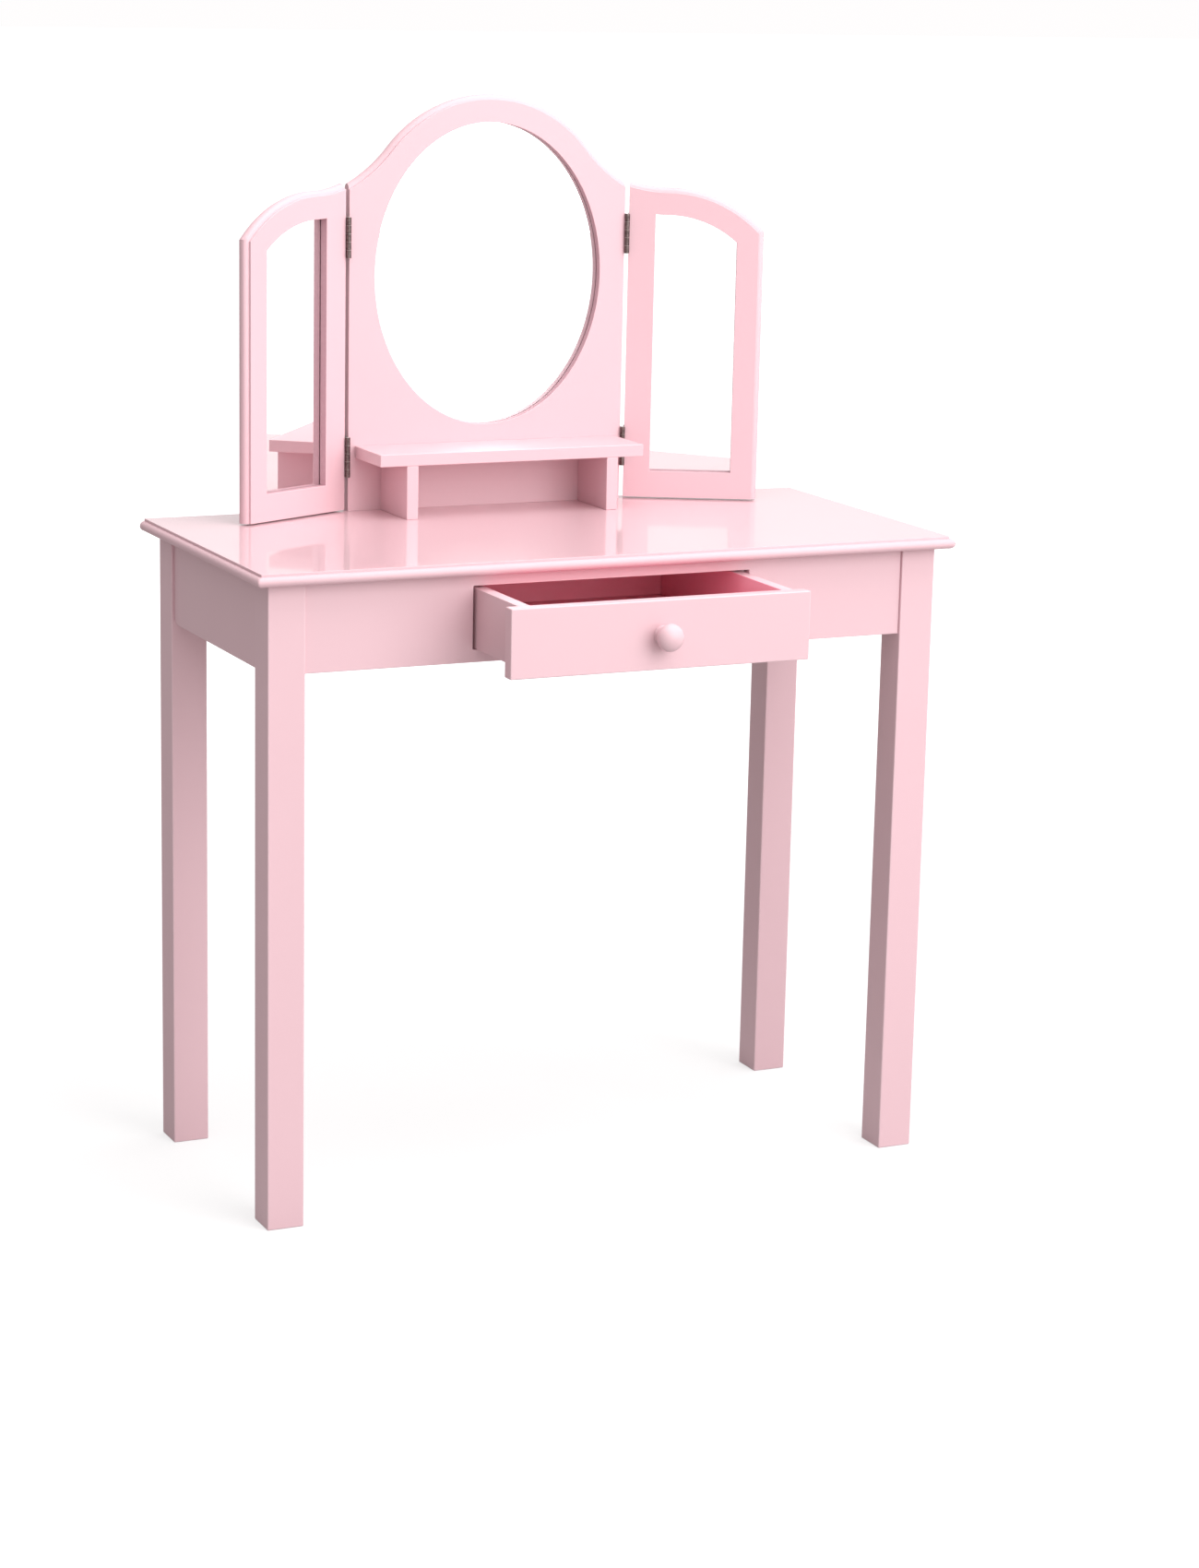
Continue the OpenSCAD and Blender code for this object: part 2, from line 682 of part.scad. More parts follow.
module wing_mirror_left() wing_mirror(-1);
module wing_mirror_right() wing_mirror(1);
module wing_backing(sx) {
    color(BOARD) folded(sx) difference() {
        upright(panel_y + reveal_d + glass_t, backing_t) wing_window(glass_lap + backing_lap);
        wing_backing_screw_places() screw(small_screw_r, backing_screw_l, hole_clear);
    }
}
module wing_backing_left() wing_backing(-1);
module wing_backing_right() wing_backing(1);
module wing_backing_screws(sx) {
    color(STEEL) folded(sx) wing_backing_screw_places() recessed_screw(small_screw_r, backing_screw_l);
}
module wing_backing_screws_left() wing_backing_screws(-1);
module wing_backing_screws_right() wing_backing_screws(1);
module wing_leaf(sx, i) {
    color(HINGE) folded(sx) difference() {
        leaf(1, hinge_zs[i], 1, pin_r + pin_clear);
        hinge_screw_places(1) screw(small_screw_r, hinge_screw_l, hole_clear);
    }
}
module hinge_wing_leaf_lower_left() wing_leaf(-1, 0);
module hinge_wing_leaf_upper_left() wing_leaf(-1, 1);
module hinge_wing_leaf_lower_right() wing_leaf(1, 0);
module hinge_wing_leaf_upper_right() wing_leaf(1, 1);
module hinge_screws_wing(sx) {
    color(STEEL) folded(sx) hinge_screw_places(1) recessed_screw(small_screw_r, hinge_screw_l);
}
module hinge_screws_wing_left() hinge_screws_wing(-1);
module hinge_screws_wing_right() hinge_screws_wing(1);

// ---- Drawer ----

// Moves a drawer part to the box's place: y = 0 at the front panel's back
module in_drawer() placed() translate([0, front_back_y, drawer_foot_z]) children();
module bottom_groove() {
    translate([-drawer_w / 2 + drawer_side_t - groove_d, -groove_d, bottom_lift])
        cube([drawer_w - 2 * drawer_side_t + 2 * groove_d, drawer_l + groove_d + 1, bottom_t + rebate_gap]);
}

// Dowels along Y join the sides to the front; those along X join the back
module dowel_places() {
    for (sx = [-1, 1])
        for (z = [0.35, 0.75]) {
            translate([sx * (drawer_w - drawer_side_t) / 2, -dowel_blind, z * drawer_side_h])
                rotate([-90, 0, 0]) children();
            on_side(sx) translate([drawer_w / 2 - drawer_side_t + dowel_blind, drawer_l - drawer_side_t / 2, z * drawer_side_h])
                rotate([0, -90, 0]) children();
        }
}
module dowel_holes() dowel_places() cylinder(h = dowel_l + hole_clear, r = dowel_r + hole_clear);
module drawer_dowels() color(BOARD) in_drawer() dowel_places() cylinder(h = dowel_l, r = dowel_r);

module drawer_front() {
    w = drawer_w + 2 * front_lap;
    color(PAINT) in_drawer() difference() {
        translate([-w / 2, -front_t, -front_drop]) cube([w, front_t, front_h]);
        bottom_groove();
        dowel_holes();
        knob_place() translate([0, 0, -front_t - 1]) cylinder(h = front_t + 2, r = knob_screw_r + hole_clear);
    }
}
module drawer_side(sx) {
    color(PAINT) in_drawer() difference() {
        on_side(sx) translate([drawer_w / 2 - drawer_side_t, 0, 0])
            cube([drawer_side_t, drawer_l, drawer_side_h]);
        bottom_groove();
        dowel_holes();
    }
}
module drawer_side_left() drawer_side(-1);
module drawer_side_right() drawer_side(1);
module drawer_back() {
    w = drawer_w - 2 * drawer_side_t;
    foot = bottom_lift + bottom_t + rebate_gap;
    color(PAINT) in_drawer() difference() {
        translate([-w / 2, drawer_l - drawer_side_t, foot]) cube([w, drawer_side_t, drawer_side_h - foot]);
        dowel_holes();
    }
}
module drawer_bottom() {
    w = drawer_w - 2 * drawer_side_t + 2 * groove_d - 2 * rebate_gap;
    color(PAINT) in_drawer() translate([-w / 2, -groove_d + rebate_gap, bottom_lift])
        cube([w, drawer_l + groove_d - rebate_gap, bottom_t]);
}

// Turns the knob's axis forwards from the middle of the front panel
module knob_place() {
    translate([0, -front_t, front_h / 2 - front_drop]) rotate([90, 0, 0]) children();
}
knob_base_r = 9.5;
knob_neck_z = 6;
head_half = 10;
function knob_profile() = concat(
    [[0, 0], [knob_base_r, 0]],
    [for (k = [1:6]) [knob_neck_r + (knob_base_r - knob_neck_r) * (1 - sin(15 * k)), knob_neck_z * k / 6]],
    [for (k = [0:11]) let (a = -50 + 140 * k / 12) [knob_r * cos(a), knob_l - head_half + head_half * sin(a)]],
    [[0, knob_l]]);
module drawer_knob() {
    color(PAINT) in_drawer() knob_place() difference() {
        rotate_extrude($fn = 48) polygon(knob_profile());
        translate([0, 0, -1]) cylinder(h = knob_screw_grip + 2, r = knob_screw_r + hole_clear);
    }
}
module knob_screw() {
    color(STEEL) in_drawer() knob_place() difference() {
        union() {
            translate([0, 0, -front_t]) cylinder(h = front_t + knob_screw_grip, r = knob_screw_r);
            translate([0, 0, -front_t - 2.2]) cylinder(h = 2.2, r = 2 * knob_screw_r);
        }
        translate([0, 0, -front_t - 2.2]) rotate([180, 0, 0]) cross_recess(knob_screw_r);
    }
}

table_top();
leg_front_left();
leg_front_right();
leg_back_left();
leg_back_right();
apron_front();
apron_back();
apron_left();
apron_right();
brace_front_left();
brace_front_right();
brace_back_left();
brace_back_right();
brace_screws();
leg_bolts();
leg_washers();
leg_nuts();
glue_blocks();
runner_left();
runner_right();
runner_screws();
center_frame();
center_mirror();
center_backing();
center_backing_screws();
shelf_board();
shelf_support_left();
shelf_support_right();
shelf_screws();
panel_screws();
hinge_fixed_leaf_lower_left();
hinge_fixed_leaf_upper_left();
hinge_fixed_leaf_lower_right();
hinge_fixed_leaf_upper_right();
hinge_pins_left();
hinge_pins_right();
hinge_screws_center();
wing_frame_left();
wing_mirror_left();
wing_backing_left();
wing_backing_screws_left();
hinge_wing_leaf_lower_left();
hinge_wing_leaf_upper_left();
hinge_screws_wing_left();
wing_frame_right();
wing_mirror_right();
wing_backing_right();
wing_backing_screws_right();
hinge_wing_leaf_lower_right();
hinge_wing_leaf_upper_right();
hinge_screws_wing_right();
drawer_front();
drawer_side_left();
drawer_side_right();
drawer_back();
drawer_bottom();
drawer_dowels();
drawer_knob();
knob_screw();
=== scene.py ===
# %% [markdown]
# # Finishing a small dressing table with folding mirrors
#
# The CAD model already gives every board, screw and hinge of this table its
# size and its place. This lesson gives each of them the shape and the finish
# that a joiner and a painter would: softened arrises, a moulded edge, turned
# and threaded parts, gloss paint, silvered glass and plated metal. The frame
# comes first, because everything after it is measured on it.

# %% Load the frame
import json
import math

import bmesh
import bpy
from mathutils import Matrix, Vector, geometry


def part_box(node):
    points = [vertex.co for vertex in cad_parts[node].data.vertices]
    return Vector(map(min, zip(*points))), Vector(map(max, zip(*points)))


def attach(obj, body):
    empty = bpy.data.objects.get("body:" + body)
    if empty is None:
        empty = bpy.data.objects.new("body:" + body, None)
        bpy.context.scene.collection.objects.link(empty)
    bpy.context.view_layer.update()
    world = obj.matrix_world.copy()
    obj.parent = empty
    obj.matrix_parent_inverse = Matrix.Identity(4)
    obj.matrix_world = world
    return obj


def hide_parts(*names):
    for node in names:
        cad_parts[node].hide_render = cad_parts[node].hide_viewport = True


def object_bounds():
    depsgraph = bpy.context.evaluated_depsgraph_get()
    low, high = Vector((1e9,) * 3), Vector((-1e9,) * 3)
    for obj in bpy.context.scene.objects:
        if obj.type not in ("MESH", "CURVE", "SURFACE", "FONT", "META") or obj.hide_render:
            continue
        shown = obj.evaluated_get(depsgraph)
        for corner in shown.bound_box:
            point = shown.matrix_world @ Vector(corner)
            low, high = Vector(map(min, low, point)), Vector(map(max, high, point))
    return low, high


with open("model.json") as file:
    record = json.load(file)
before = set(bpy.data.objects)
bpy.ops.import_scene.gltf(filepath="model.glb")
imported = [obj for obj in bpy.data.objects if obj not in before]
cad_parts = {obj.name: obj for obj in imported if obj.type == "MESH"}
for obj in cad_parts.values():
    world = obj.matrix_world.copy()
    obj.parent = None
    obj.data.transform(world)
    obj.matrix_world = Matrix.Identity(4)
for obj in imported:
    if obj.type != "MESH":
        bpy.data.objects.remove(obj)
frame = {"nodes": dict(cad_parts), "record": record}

cad_low, cad_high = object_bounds()
record = frame["record"]
body_of = {node: body for body, nodes in record["behaviour"]["bodies"].items() for node in nodes}
print("frame:", len(frame["nodes"]), "nodes in a box of", [round(side, 3) for side in cad_high - cad_low])

# %% [markdown]
# The camera stands in front of the table's left corner, a little above the
# mirrors' middle, and looks down on the top. A long lens from about three
# and a half metres keeps the legs nearly parallel. The turn is built from
# three plain angles, because that reads better than a quaternion.

# %% Camera
CAMERA_PLACE = (-1.4405, -3.1269, 1.1850)
CAMERA_TURN = math.radians(-25.25)
CAMERA_TILT = math.radians(90 - 13.13)
CAMERA_ROLL = math.radians(1.27)
LENS, SENSOR = 83.2, 36.0


def show(thing):
    bpy.context.scene.collection.objects.link(thing)


def add_camera():
    camera = bpy.data.objects.new("camera", bpy.data.cameras.new("camera"))
    camera.data.sensor_width = SENSOR
    camera.data.lens = LENS
    aim = Matrix.Rotation(CAMERA_TURN, 4, "Z") @ Matrix.Rotation(CAMERA_TILT, 4, "X")
    camera.matrix_world = Matrix.Translation(CAMERA_PLACE) @ aim @ Matrix.Rotation(CAMERA_ROLL, 4, "Z")
    show(camera)
    bpy.context.scene.camera = camera


add_camera()
print("camera:", LENS, "mm lens at", CAMERA_PLACE)

# %% [markdown]
# Node materials get long when every sum is written out as a node and two
# links. `Wire` wraps an output socket, so that `0.3 + 0.1 * cloud` adds the
# Math nodes by itself. `Tree.add` makes any other node: it takes the node's
# type, its settings and what goes into its sockets. A socket can be named by
# its label or, where labels repeat, by its identifier. A `Finish` is the
# tree of one material.


# %% Wires, trees and finishes
class Wire:
    """A number or a colour on its way through a node tree."""

    def __init__(self, tree, socket):
        self.tree = tree
        self.socket = socket

    def math(self, operation, first, second):
        return self.tree.add("ShaderNodeMath", {"operation": operation}, {0: first, 1: second})

    def __add__(self, other):
        return self.math("ADD", self, other)

    def __rsub__(self, other):
        return self.math("SUBTRACT", other, self)

    def __mul__(self, other):
        return self.math("MULTIPLY", self, other)

    def __pow__(self, other):
        return self.math("POWER", self, other)

    __radd__ = __add__
    __rmul__ = __mul__


class Tree:
    """A node tree and the one way in which nodes are added to it."""

    def __init__(self, tree):
        self.tree = tree
        self.tree.nodes.clear()

    def add(self, kind, settings=None, inputs=None, output=0):
        node = self.tree.nodes.new(kind)
        for name, value in (settings or {}).items():
            if name == "stops":
                self.set_stops(node.color_ramp, value)
            else:
                setattr(node, name, value)
        for name, value in (inputs or {}).items():
            socket = self.find(node.inputs, name)
            for wire in value if isinstance(value, list) else [value]:
                if isinstance(wire, Wire):
                    self.tree.links.new(wire.socket, socket)
                else:
                    socket.default_value = wire
        return Wire(self, self.find(node.outputs, output)) if node.outputs else node

    @staticmethod
    def find(sockets, name):
        if isinstance(name, int):
            return sockets[name]
        return next(s for s in sockets if name in (s.identifier, s.name))

    @staticmethod
    def set_stops(ramp, stops):
        while len(ramp.elements) < len(stops):
            ramp.elements.new(0.5)
        for element, (place, colour) in zip(ramp.elements, stops):
            element.position = place
            element.color = (*colour, 1.0)

    def dot(self, first, second):
        pair = {0: first, 1: second}
        return self.add("ShaderNodeVectorMath", {"operation": "DOT_PRODUCT"}, pair, "Value")

    def rise(self, value, start, end, low, high):
        """Climbs smoothly from low to high while the value goes from start to end."""
        span = {"Value": value, "From Min": start, "From Max": end, "To Min": low, "To Max": high}
        return self.add("ShaderNodeMapRange", {"interpolation_type": "SMOOTHSTEP"}, span)

    def mix(self, share, first, second):
        pair = {"Factor_Float": share, "A_Color": first, "B_Color": second}
        return self.add("ShaderNodeMix", {"data_type": "RGBA"}, pair, "Result_Color")


class Finish(Tree):
    """One material, from its patterns to its shader."""

    def __init__(self, name):
        self.material = bpy.data.materials.new(name)
        self.material.use_nodes = True
        super().__init__(self.material.node_tree)

    def here(self, scale=(1, 1, 1)):
        place = self.add("ShaderNodeTexCoord", output="Object")
        return self.add("ShaderNodeMapping", {}, {"Vector": place, "Scale": scale})

    def noise(self, place, scale, detail=2.0, roughness=0.5):
        sizes = {"Vector": place, "Scale": scale, "Detail": detail, "Roughness": roughness}
        return self.add("ShaderNodeTexNoise", {}, sizes)

    def ramp(self, value, stops):
        return self.add("ShaderNodeValToRGB", {"stops": stops}, {0: value})

    def mark(self, name):
        return self.add("ShaderNodeAttribute", {"attribute_name": name}, output="Fac")

    def bump(self, height, strength, depth):
        return self.add("ShaderNodeBump", {}, {"Height": height, "Strength": strength, "Distance": depth})

    def coat(self, **inputs):
        names = {name.replace("_", " "): value for name, value in inputs.items()}
        shader = self.add("ShaderNodeBsdfPrincipled", {}, names)
        self.add("ShaderNodeOutputMaterial", {}, {"Surface": shader})
        return self.material


print("wires: sums on a Wire add Math nodes")

# %% [markdown]
# The studio is a plain pale floor that glows a little, as a light table
# does, under soft light. A broad softbox stands in front, a little to the
# right and above the mirrors, and a smaller one hangs over the drawer. The
# rest is a dim dome, brighter on the softboxes' side than on the left. Matt
# surfaces see that dome and a duller floor, so the left-hand sides stay in
# shade. The camera and the gloss see both as bright white, apart from the
# floor behind the table on the left, which the gloss sees dull as well.


# %% Floor and light
DOME_DARK, DOME_BRIGHT, DOME_FALL = 0.06, 1.42, 1.6
BRIGHT_SIDE, DULL_SIDE = (0.50, -0.42, 0.76), (-0.6, 0.8, 0)
DULL_START, DULL_END, DULL_SHARE = -0.2, 0.7, 0.9
FLOOR_GLOW, GLOW_START, GLOW_END = 0.66, 0.7, 3.2
FLOOR_HALF = 40.0


def pale_floor():
    floor = Finish("pale_floor")
    place = floor.here()
    cloud = floor.noise(place, 0.8, 3)
    colour = floor.mix(cloud, (0.35, 0.345, 0.345, 1), (0.37, 0.365, 0.365, 1))
    away = floor.add("ShaderNodeVectorMath", {"operation": "LENGTH"}, {0: place}, "Value")
    strength = floor.rise(away, GLOW_START, GLOW_END, FLOOR_GLOW, 1.0)
    glow = floor.add("ShaderNodeEmission", {}, {"Color": (1, 1, 1, 1), "Strength": strength})
    matt = floor.add("ShaderNodeBsdfDiffuse", {}, {"Color": colour})
    seen = floor.add("ShaderNodeAddShader", {}, {0: glow, 1: matt})
    bounce = floor.add("ShaderNodeLightPath", output="Diffuse Depth")
    gloss = floor.add("ShaderNodeLightPath", output="Is Glossy Ray")
    dull = floor.rise(floor.dot(place, DULL_SIDE), DULL_START, DULL_END, 0.0, DULL_SHARE)
    shader = floor.add("ShaderNodeMixShader", {}, {0: bounce + gloss * dull, 1: seen, 2: matt})
    floor.add("ShaderNodeOutputMaterial", {}, {"Surface": shader})
    return floor.material


def add_floor():
    mesh = bpy.data.meshes.new("floor")
    half = FLOOR_HALF
    corners = [(-half, -half, 0), (half, -half, 0), (half, half, 0), (-half, half, 0)]
    mesh.from_pydata(corners, [], [(0, 1, 2, 3)])
    floor = bpy.data.objects.new("floor", mesh)
    mesh.materials.append(pale_floor())
    show(floor)


def add_world():
    world = bpy.data.worlds.new("studio")
    world.use_nodes = True
    studio = Tree(world.node_tree)
    direction = studio.add("ShaderNodeTexCoord", output="Generated")
    side = studio.dot(direction, BRIGHT_SIDE)
    dome = DOME_DARK + (DOME_BRIGHT - DOME_DARK) * (0.5 + 0.5 * side) ** DOME_FALL
    depth = studio.add("ShaderNodeLightPath", output="Diffuse Depth")
    matt = depth.math("MINIMUM", depth, 1.0)
    strength = 1 - matt * (1 - dome)
    light = studio.add("ShaderNodeBackground", {}, {"Color": (1, 0.985, 0.985, 1), "Strength": strength})
    studio.add("ShaderNodeOutputWorld", {}, {"Surface": light})
    bpy.context.scene.world = world


def add_softbox(name, away, power, size):
    """A square soft light that far from the table's middle, turned to face it."""
    lamp = bpy.data.lights.new(name, "AREA")
    lamp.energy = power
    lamp.size = size
    softbox = bpy.data.objects.new(name, lamp)
    turn = away.to_track_quat("Z", "Y").to_matrix().to_4x4()
    middle = (cad_low + cad_high) / 2
    softbox.matrix_world = Matrix.Translation(middle + away) @ turn
    softbox.visible_camera = False
    show(softbox)


add_floor()
add_world()
add_softbox("softbox_front", Vector((0.86, -2.63, 1.17)), 50, 2.3)
add_softbox("softbox_above", Vector((0.30, -0.42, 1.85)), 19, 1.5)
bpy.context.scene.view_settings.view_transform = "Standard"
print("studio: pale floor, dome and two softboxes")

# %% [markdown]
# Factory gloss paint on fibreboard is never one flat colour. It drifts a
# little where the spray passes overlap, and it has a fine orange peel. On
# the arrises it is paler: thinner there, where it wears first, and with a
# painted highlight. Each mesh marks its arrises with the face attribute
# `arris`, so the paint can find them.
# The drawer's inside is painted a brighter, deeper rose: painted bounce light
# between its pink walls. Those faces are marked `inside`.
# The walls of the mirrors' windows are marked too, and darkened there with
# painted shade. The top alone has a coat of clear lacquer, which mirrors
# the frames, and its moulded nose, marked `nose`, has none.

# %% Gloss paint
PINK = (0.750, 0.500, 0.541, 1)
PINK_DRIFT = (0.730, 0.480, 0.521, 1)
PINK_WORN_AND_HIGHLIT = (0.82, 0.59, 0.63, 1)
# Painted bounce light: the drawer's inside is brighter and rosier than the paint.
PAINTED_BOUNCE_ROSE = (0.98, 0.40, 0.50, 1)
# Painted shade for the walls of the mirrors' windows.
REVEAL_SHADE = (0.36, 0.13, 0.18, 1)
DRIFT_SCALE, PEEL_SCALE, SPECK_SCALE, FIBRE_SCALE = 7, 260, 1500, 320
PEEL_DEPTH = 0.0004


def gloss_paint(name, shine, grain=(1, 1, 1), lacquer=0.0):
    """Pink paint; shine is its roughness, and grain stretches the board's telegraphed fibres."""
    paint = Finish(name)
    place = paint.here()
    drift = paint.noise(place, DRIFT_SCALE, 3)
    peel = paint.noise(place, PEEL_SCALE, 1)
    specks = paint.noise(place, SPECK_SCALE, 1)
    fibres = paint.noise(paint.here(grain), FIBRE_SCALE, 3)
    arris = paint.mark("arris")
    body = paint.mix(drift, PINK, PINK_DRIFT)
    # Paler arrises: worn thin paint, and a painted highlight along the edges.
    worn = paint.mix(arris * 0.45, body, PINK_WORN_AND_HIGHLIT)
    # Painted shade: the mirrors' window walls darken towards REVEAL_SHADE.
    shaded = paint.mix(paint.mark("reveal") * (0.45 + 0.20 * fibres), worn, REVEAL_SHADE)
    # Painted bounce light: the faces inside the drawer turn a brighter, deeper rose.
    colour = paint.mix(paint.mark("inside") * (0.85 + 0.15 * fibres), shaded, PAINTED_BOUNCE_ROSE)
    relief = peel * 0.75 + specks * 0.10 + fibres * 0.15
    nose = paint.mark("nose")
    roughness = shine + 0.07 * drift + 0.05 * specks + 0.10 * arris + 0.10 * nose
    inputs = {"Specular_IOR_Level": 0.5 - 0.35 * lacquer, "Coat_Weight": lacquer * (1 - nose)}
    return paint.coat(
        Base_Color=colour, Roughness=roughness, IOR=1.5, Coat_Roughness=0.05,
        Normal=paint.bump(relief, 0.12, PEEL_DEPTH), **inputs)


paint_top = gloss_paint("gloss_paint_top", 0.30, lacquer=0.75)
paint_board = gloss_paint("gloss_paint_board", 0.38)
paint_upright = gloss_paint("gloss_paint_upright", 0.36, (1, 1, 0.03))
paint_rail = gloss_paint("gloss_paint_rail", 0.36, (0.03, 1, 1))

# %% [markdown]
# Mirror glass is silvered on its back. In a render a smooth metal with a
# faint green tint does the same, and thin films of cleaning smears roughen
# it here and there by a very small amount. The backs are brown hardboard,
# felted fibres pressed hard, and the hidden runners are planed softwood.


# %% Mirror, hardboard and softwood
def silvered_glass():
    glass = Finish("silvered_glass")
    smears = glass.noise(glass.here((1, 1, 3)), 14, 4)
    colour = glass.mix(smears, (0.955, 0.965, 0.96, 1), (0.94, 0.955, 0.95, 1))
    return glass.coat(Base_Color=colour, Metallic=1.0, Roughness=0.02 * smears ** 4)


def pressed_hardboard():
    board = Finish("pressed_hardboard")
    place = board.here()
    mottle = board.noise(place, 45, 4)
    fibres = board.noise(board.here((1, 1, 4)), 700, 4, 0.7)
    colour = board.ramp(mottle * 0.5 + fibres * 0.5, [
        (0.30, (0.085, 0.045, 0.022)), (0.50, (0.16, 0.088, 0.045)), (0.72, (0.25, 0.145, 0.078))])
    return board.coat(
        Base_Color=colour, Roughness=0.42 + 0.25 * fibres, Normal=board.bump(fibres, 0.3, 0.0003))


def planed_softwood():
    wood = Finish("planed_softwood")
    place = wood.here((1, 0.07, 1))
    rings = wood.add(
        "ShaderNodeTexWave", {"wave_type": "RINGS", "rings_direction": "Y"},
        {"Vector": place, "Scale": 55, "Distortion": 5.0, "Detail": 3.0, "Detail Scale": 2.0})
    pores = wood.noise(place, 900, 3)
    colour = wood.ramp(rings * 0.75 + pores * 0.25, [
        (0.15, (0.66, 0.43, 0.22)), (0.60, (0.58, 0.35, 0.16)), (0.90, (0.42, 0.22, 0.09))])
    return wood.coat(
        Base_Color=colour, Roughness=0.55 + 0.15 * pores, Normal=wood.bump(pores, 0.25, 0.0003))


mirror_glass, hardboard, softwood = silvered_glass(), pressed_hardboard(), planed_softwood()
print("boards:", mirror_glass.name, hardboard.name, softwood.name)

# %% [markdown]
# The screws are zinc plated: bright, with a faint crystal pattern and paler
# rubbed edges. The hinges are dark nickel, mottled from near black to brown,
# with bright edges that are partly polish and partly painted glints.


# %% Plated metals
def bright_zinc():
    zinc = Finish("bright_zinc")
    place = zinc.here()
    crystals = zinc.add("ShaderNodeTexVoronoi", {}, {"Vector": place, "Scale": 700}, "Distance")
    dirt = zinc.noise(place, 240, 4)
    plate = zinc.mix(crystals, (0.62, 0.63, 0.66, 1), (0.72, 0.72, 0.72, 1))
    colour = zinc.mix(zinc.mark("arris") * 0.6, plate, (0.85, 0.85, 0.86, 1))
    return zinc.coat(Base_Color=colour, Metallic=1.0, Roughness=0.24 + 0.22 * dirt)


def dark_nickel():
    nickel = Finish("dark_nickel")
    place = nickel.here()
    dirt = nickel.noise(place, 420, 5, 0.65)
    brushed = nickel.noise(nickel.here((1, 1, 0.05)), 1800, 2)
    plate = nickel.ramp(dirt, [(0.30, (0.06, 0.04, 0.04)), (0.70, (0.22, 0.17, 0.16))])
    # Bright edges: polish where the plate rubs, and painted glints.
    colour = nickel.mix(nickel.mark("arris") * 0.7, plate, (0.72, 0.66, 0.63, 1))
    return nickel.coat(
        Base_Color=colour, Metallic=1.0, Roughness=0.26 + 0.24 * dirt,
        Normal=nickel.bump(brushed, 0.25, 0.0001))


zinc, nickel = bright_zinc(), dark_nickel()
print("metals:", zinc.name, nickel.name)

# %% [markdown]
# Almost every part of this table is a stack of closed loops with skin
# between them: a board is two loops, a moulded edge is fifteen, and a turned
# knob is a circle for each point of its outline. So one small kit of mesh
# tools is enough: `loop` lays out points in a plane, `skin` joins loops,
# `fill` closes a face, with or without a window in it, and `stack` does all
# three for a plain solid. Angles and lengths are named once, up here.

# %% Mesh kit
MM = 0.001
BEVEL_ANGLE, CREASE_ANGLE, TURNED_CREASE = 40, 38, 30
AXES = {
    "X": lambda u, v, w: (w, u, v),
    "Y": lambda u, v, w: (u, w, v),
    "Z": lambda u, v, w: (u, v, w),
}


def new_mesh():
    mesh = bmesh.new()
    for mark in ("arris", "inside", "nose", "reveal"):
        mesh.faces.layers.float.new(mark)
    return mesh


def loop(mesh, points, level, axis):
    """One closed loop of points, flat across the axis, at that level."""
    return [mesh.verts.new(AXES[axis](u, v, level)) for u, v in points]


def skin(mesh, loops, worn=()):
    """Joins each loop to the next; the strips numbered in worn are arrises."""
    arris = mesh.faces.layers.float["arris"]
    for strip, (first, second) in enumerate(zip(loops, loops[1:])):
        for i in range(len(first)):
            j = (i + 1) % len(first)
            face = mesh.faces.new((first[i], first[j], second[j], second[i]))
            face.smooth = True
            face[arris] = 1.0 if strip in worn else 0.0


def edges_of(mesh, ring):
    pairs = zip(ring, ring[1:] + ring[:1])
    return [mesh.edges.get(pair) or mesh.edges.new(pair) for pair in pairs]


def fill(mesh, *rings):
    """Closes a flat face: the first ring is its outline, and the others are windows in it."""
    if len(rings) == 1:
        mesh.faces.new(rings[0])
        return
    edges = [edge for ring in rings for edge in edges_of(mesh, ring)]
    bmesh.ops.triangle_fill(mesh, use_beauty=True, use_dissolve=False, edges=edges)


def stack(mesh, rings, worn=()):
    """Skins a pile of loops and closes both of its ends."""
    skin(mesh, rings, worn)
    fill(mesh, rings[0])
    fill(mesh, rings[-1])


def soften(mesh, radius, segments=3):
    """Rounds every sharp edge, and marks the new faces as arrises."""
    arris = mesh.faces.layers.float["arris"]
    bmesh.ops.recalc_face_normals(mesh, faces=mesh.faces)
    mesh.normal_update()
    sharp = math.radians(BEVEL_ANGLE)
    hard = [e for e in mesh.edges if e.is_manifold and e.calc_face_angle() > sharp]
    made = bmesh.ops.bevel(
        mesh, geom=hard, offset=radius, segments=segments, profile=0.5,
        affect="EDGES", clamp_overlap=True)
    for face in made["faces"]:
        face.smooth = True
        face[arris] = 1.0


def tidy_mesh(mesh, crease=CREASE_ANGLE):
    """Turns all faces outwards and keeps the hard edges hard."""
    bmesh.ops.recalc_face_normals(mesh, faces=mesh.faces)
    mesh.normal_update()
    for edge in mesh.edges:
        if edge.is_manifold and edge.calc_face_angle() > math.radians(crease):
            edge.smooth = False


def to_object(name, mesh):
    data = bpy.data.meshes.new(name)
    mesh.to_mesh(data)
    mesh.free()
    return bpy.data.objects.new(name, data)


def to_piece(node, mesh, material):
    """Makes the finished piece that stands for a CAD node and rides on its body."""
    piece = to_object("made_" + node, mesh)
    piece.data.materials.append(material)
    settle(piece, node)


def settle(piece, node):
    show(piece)
    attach(piece, body_of[node])
    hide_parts(node)


def blocks(boxes, radius, segments=3):
    """Planed boards or posts with rounded arrises, one for each pair of corners."""
    mesh = new_mesh()
    for low, high in boxes:
        place = Matrix.Translation((low + high) / 2) @ Matrix.Diagonal((*(high - low), 1))
        bmesh.ops.create_cube(mesh, size=1.0, matrix=place)
    soften(mesh, radius, segments)
    tidy_mesh(mesh)
    return mesh


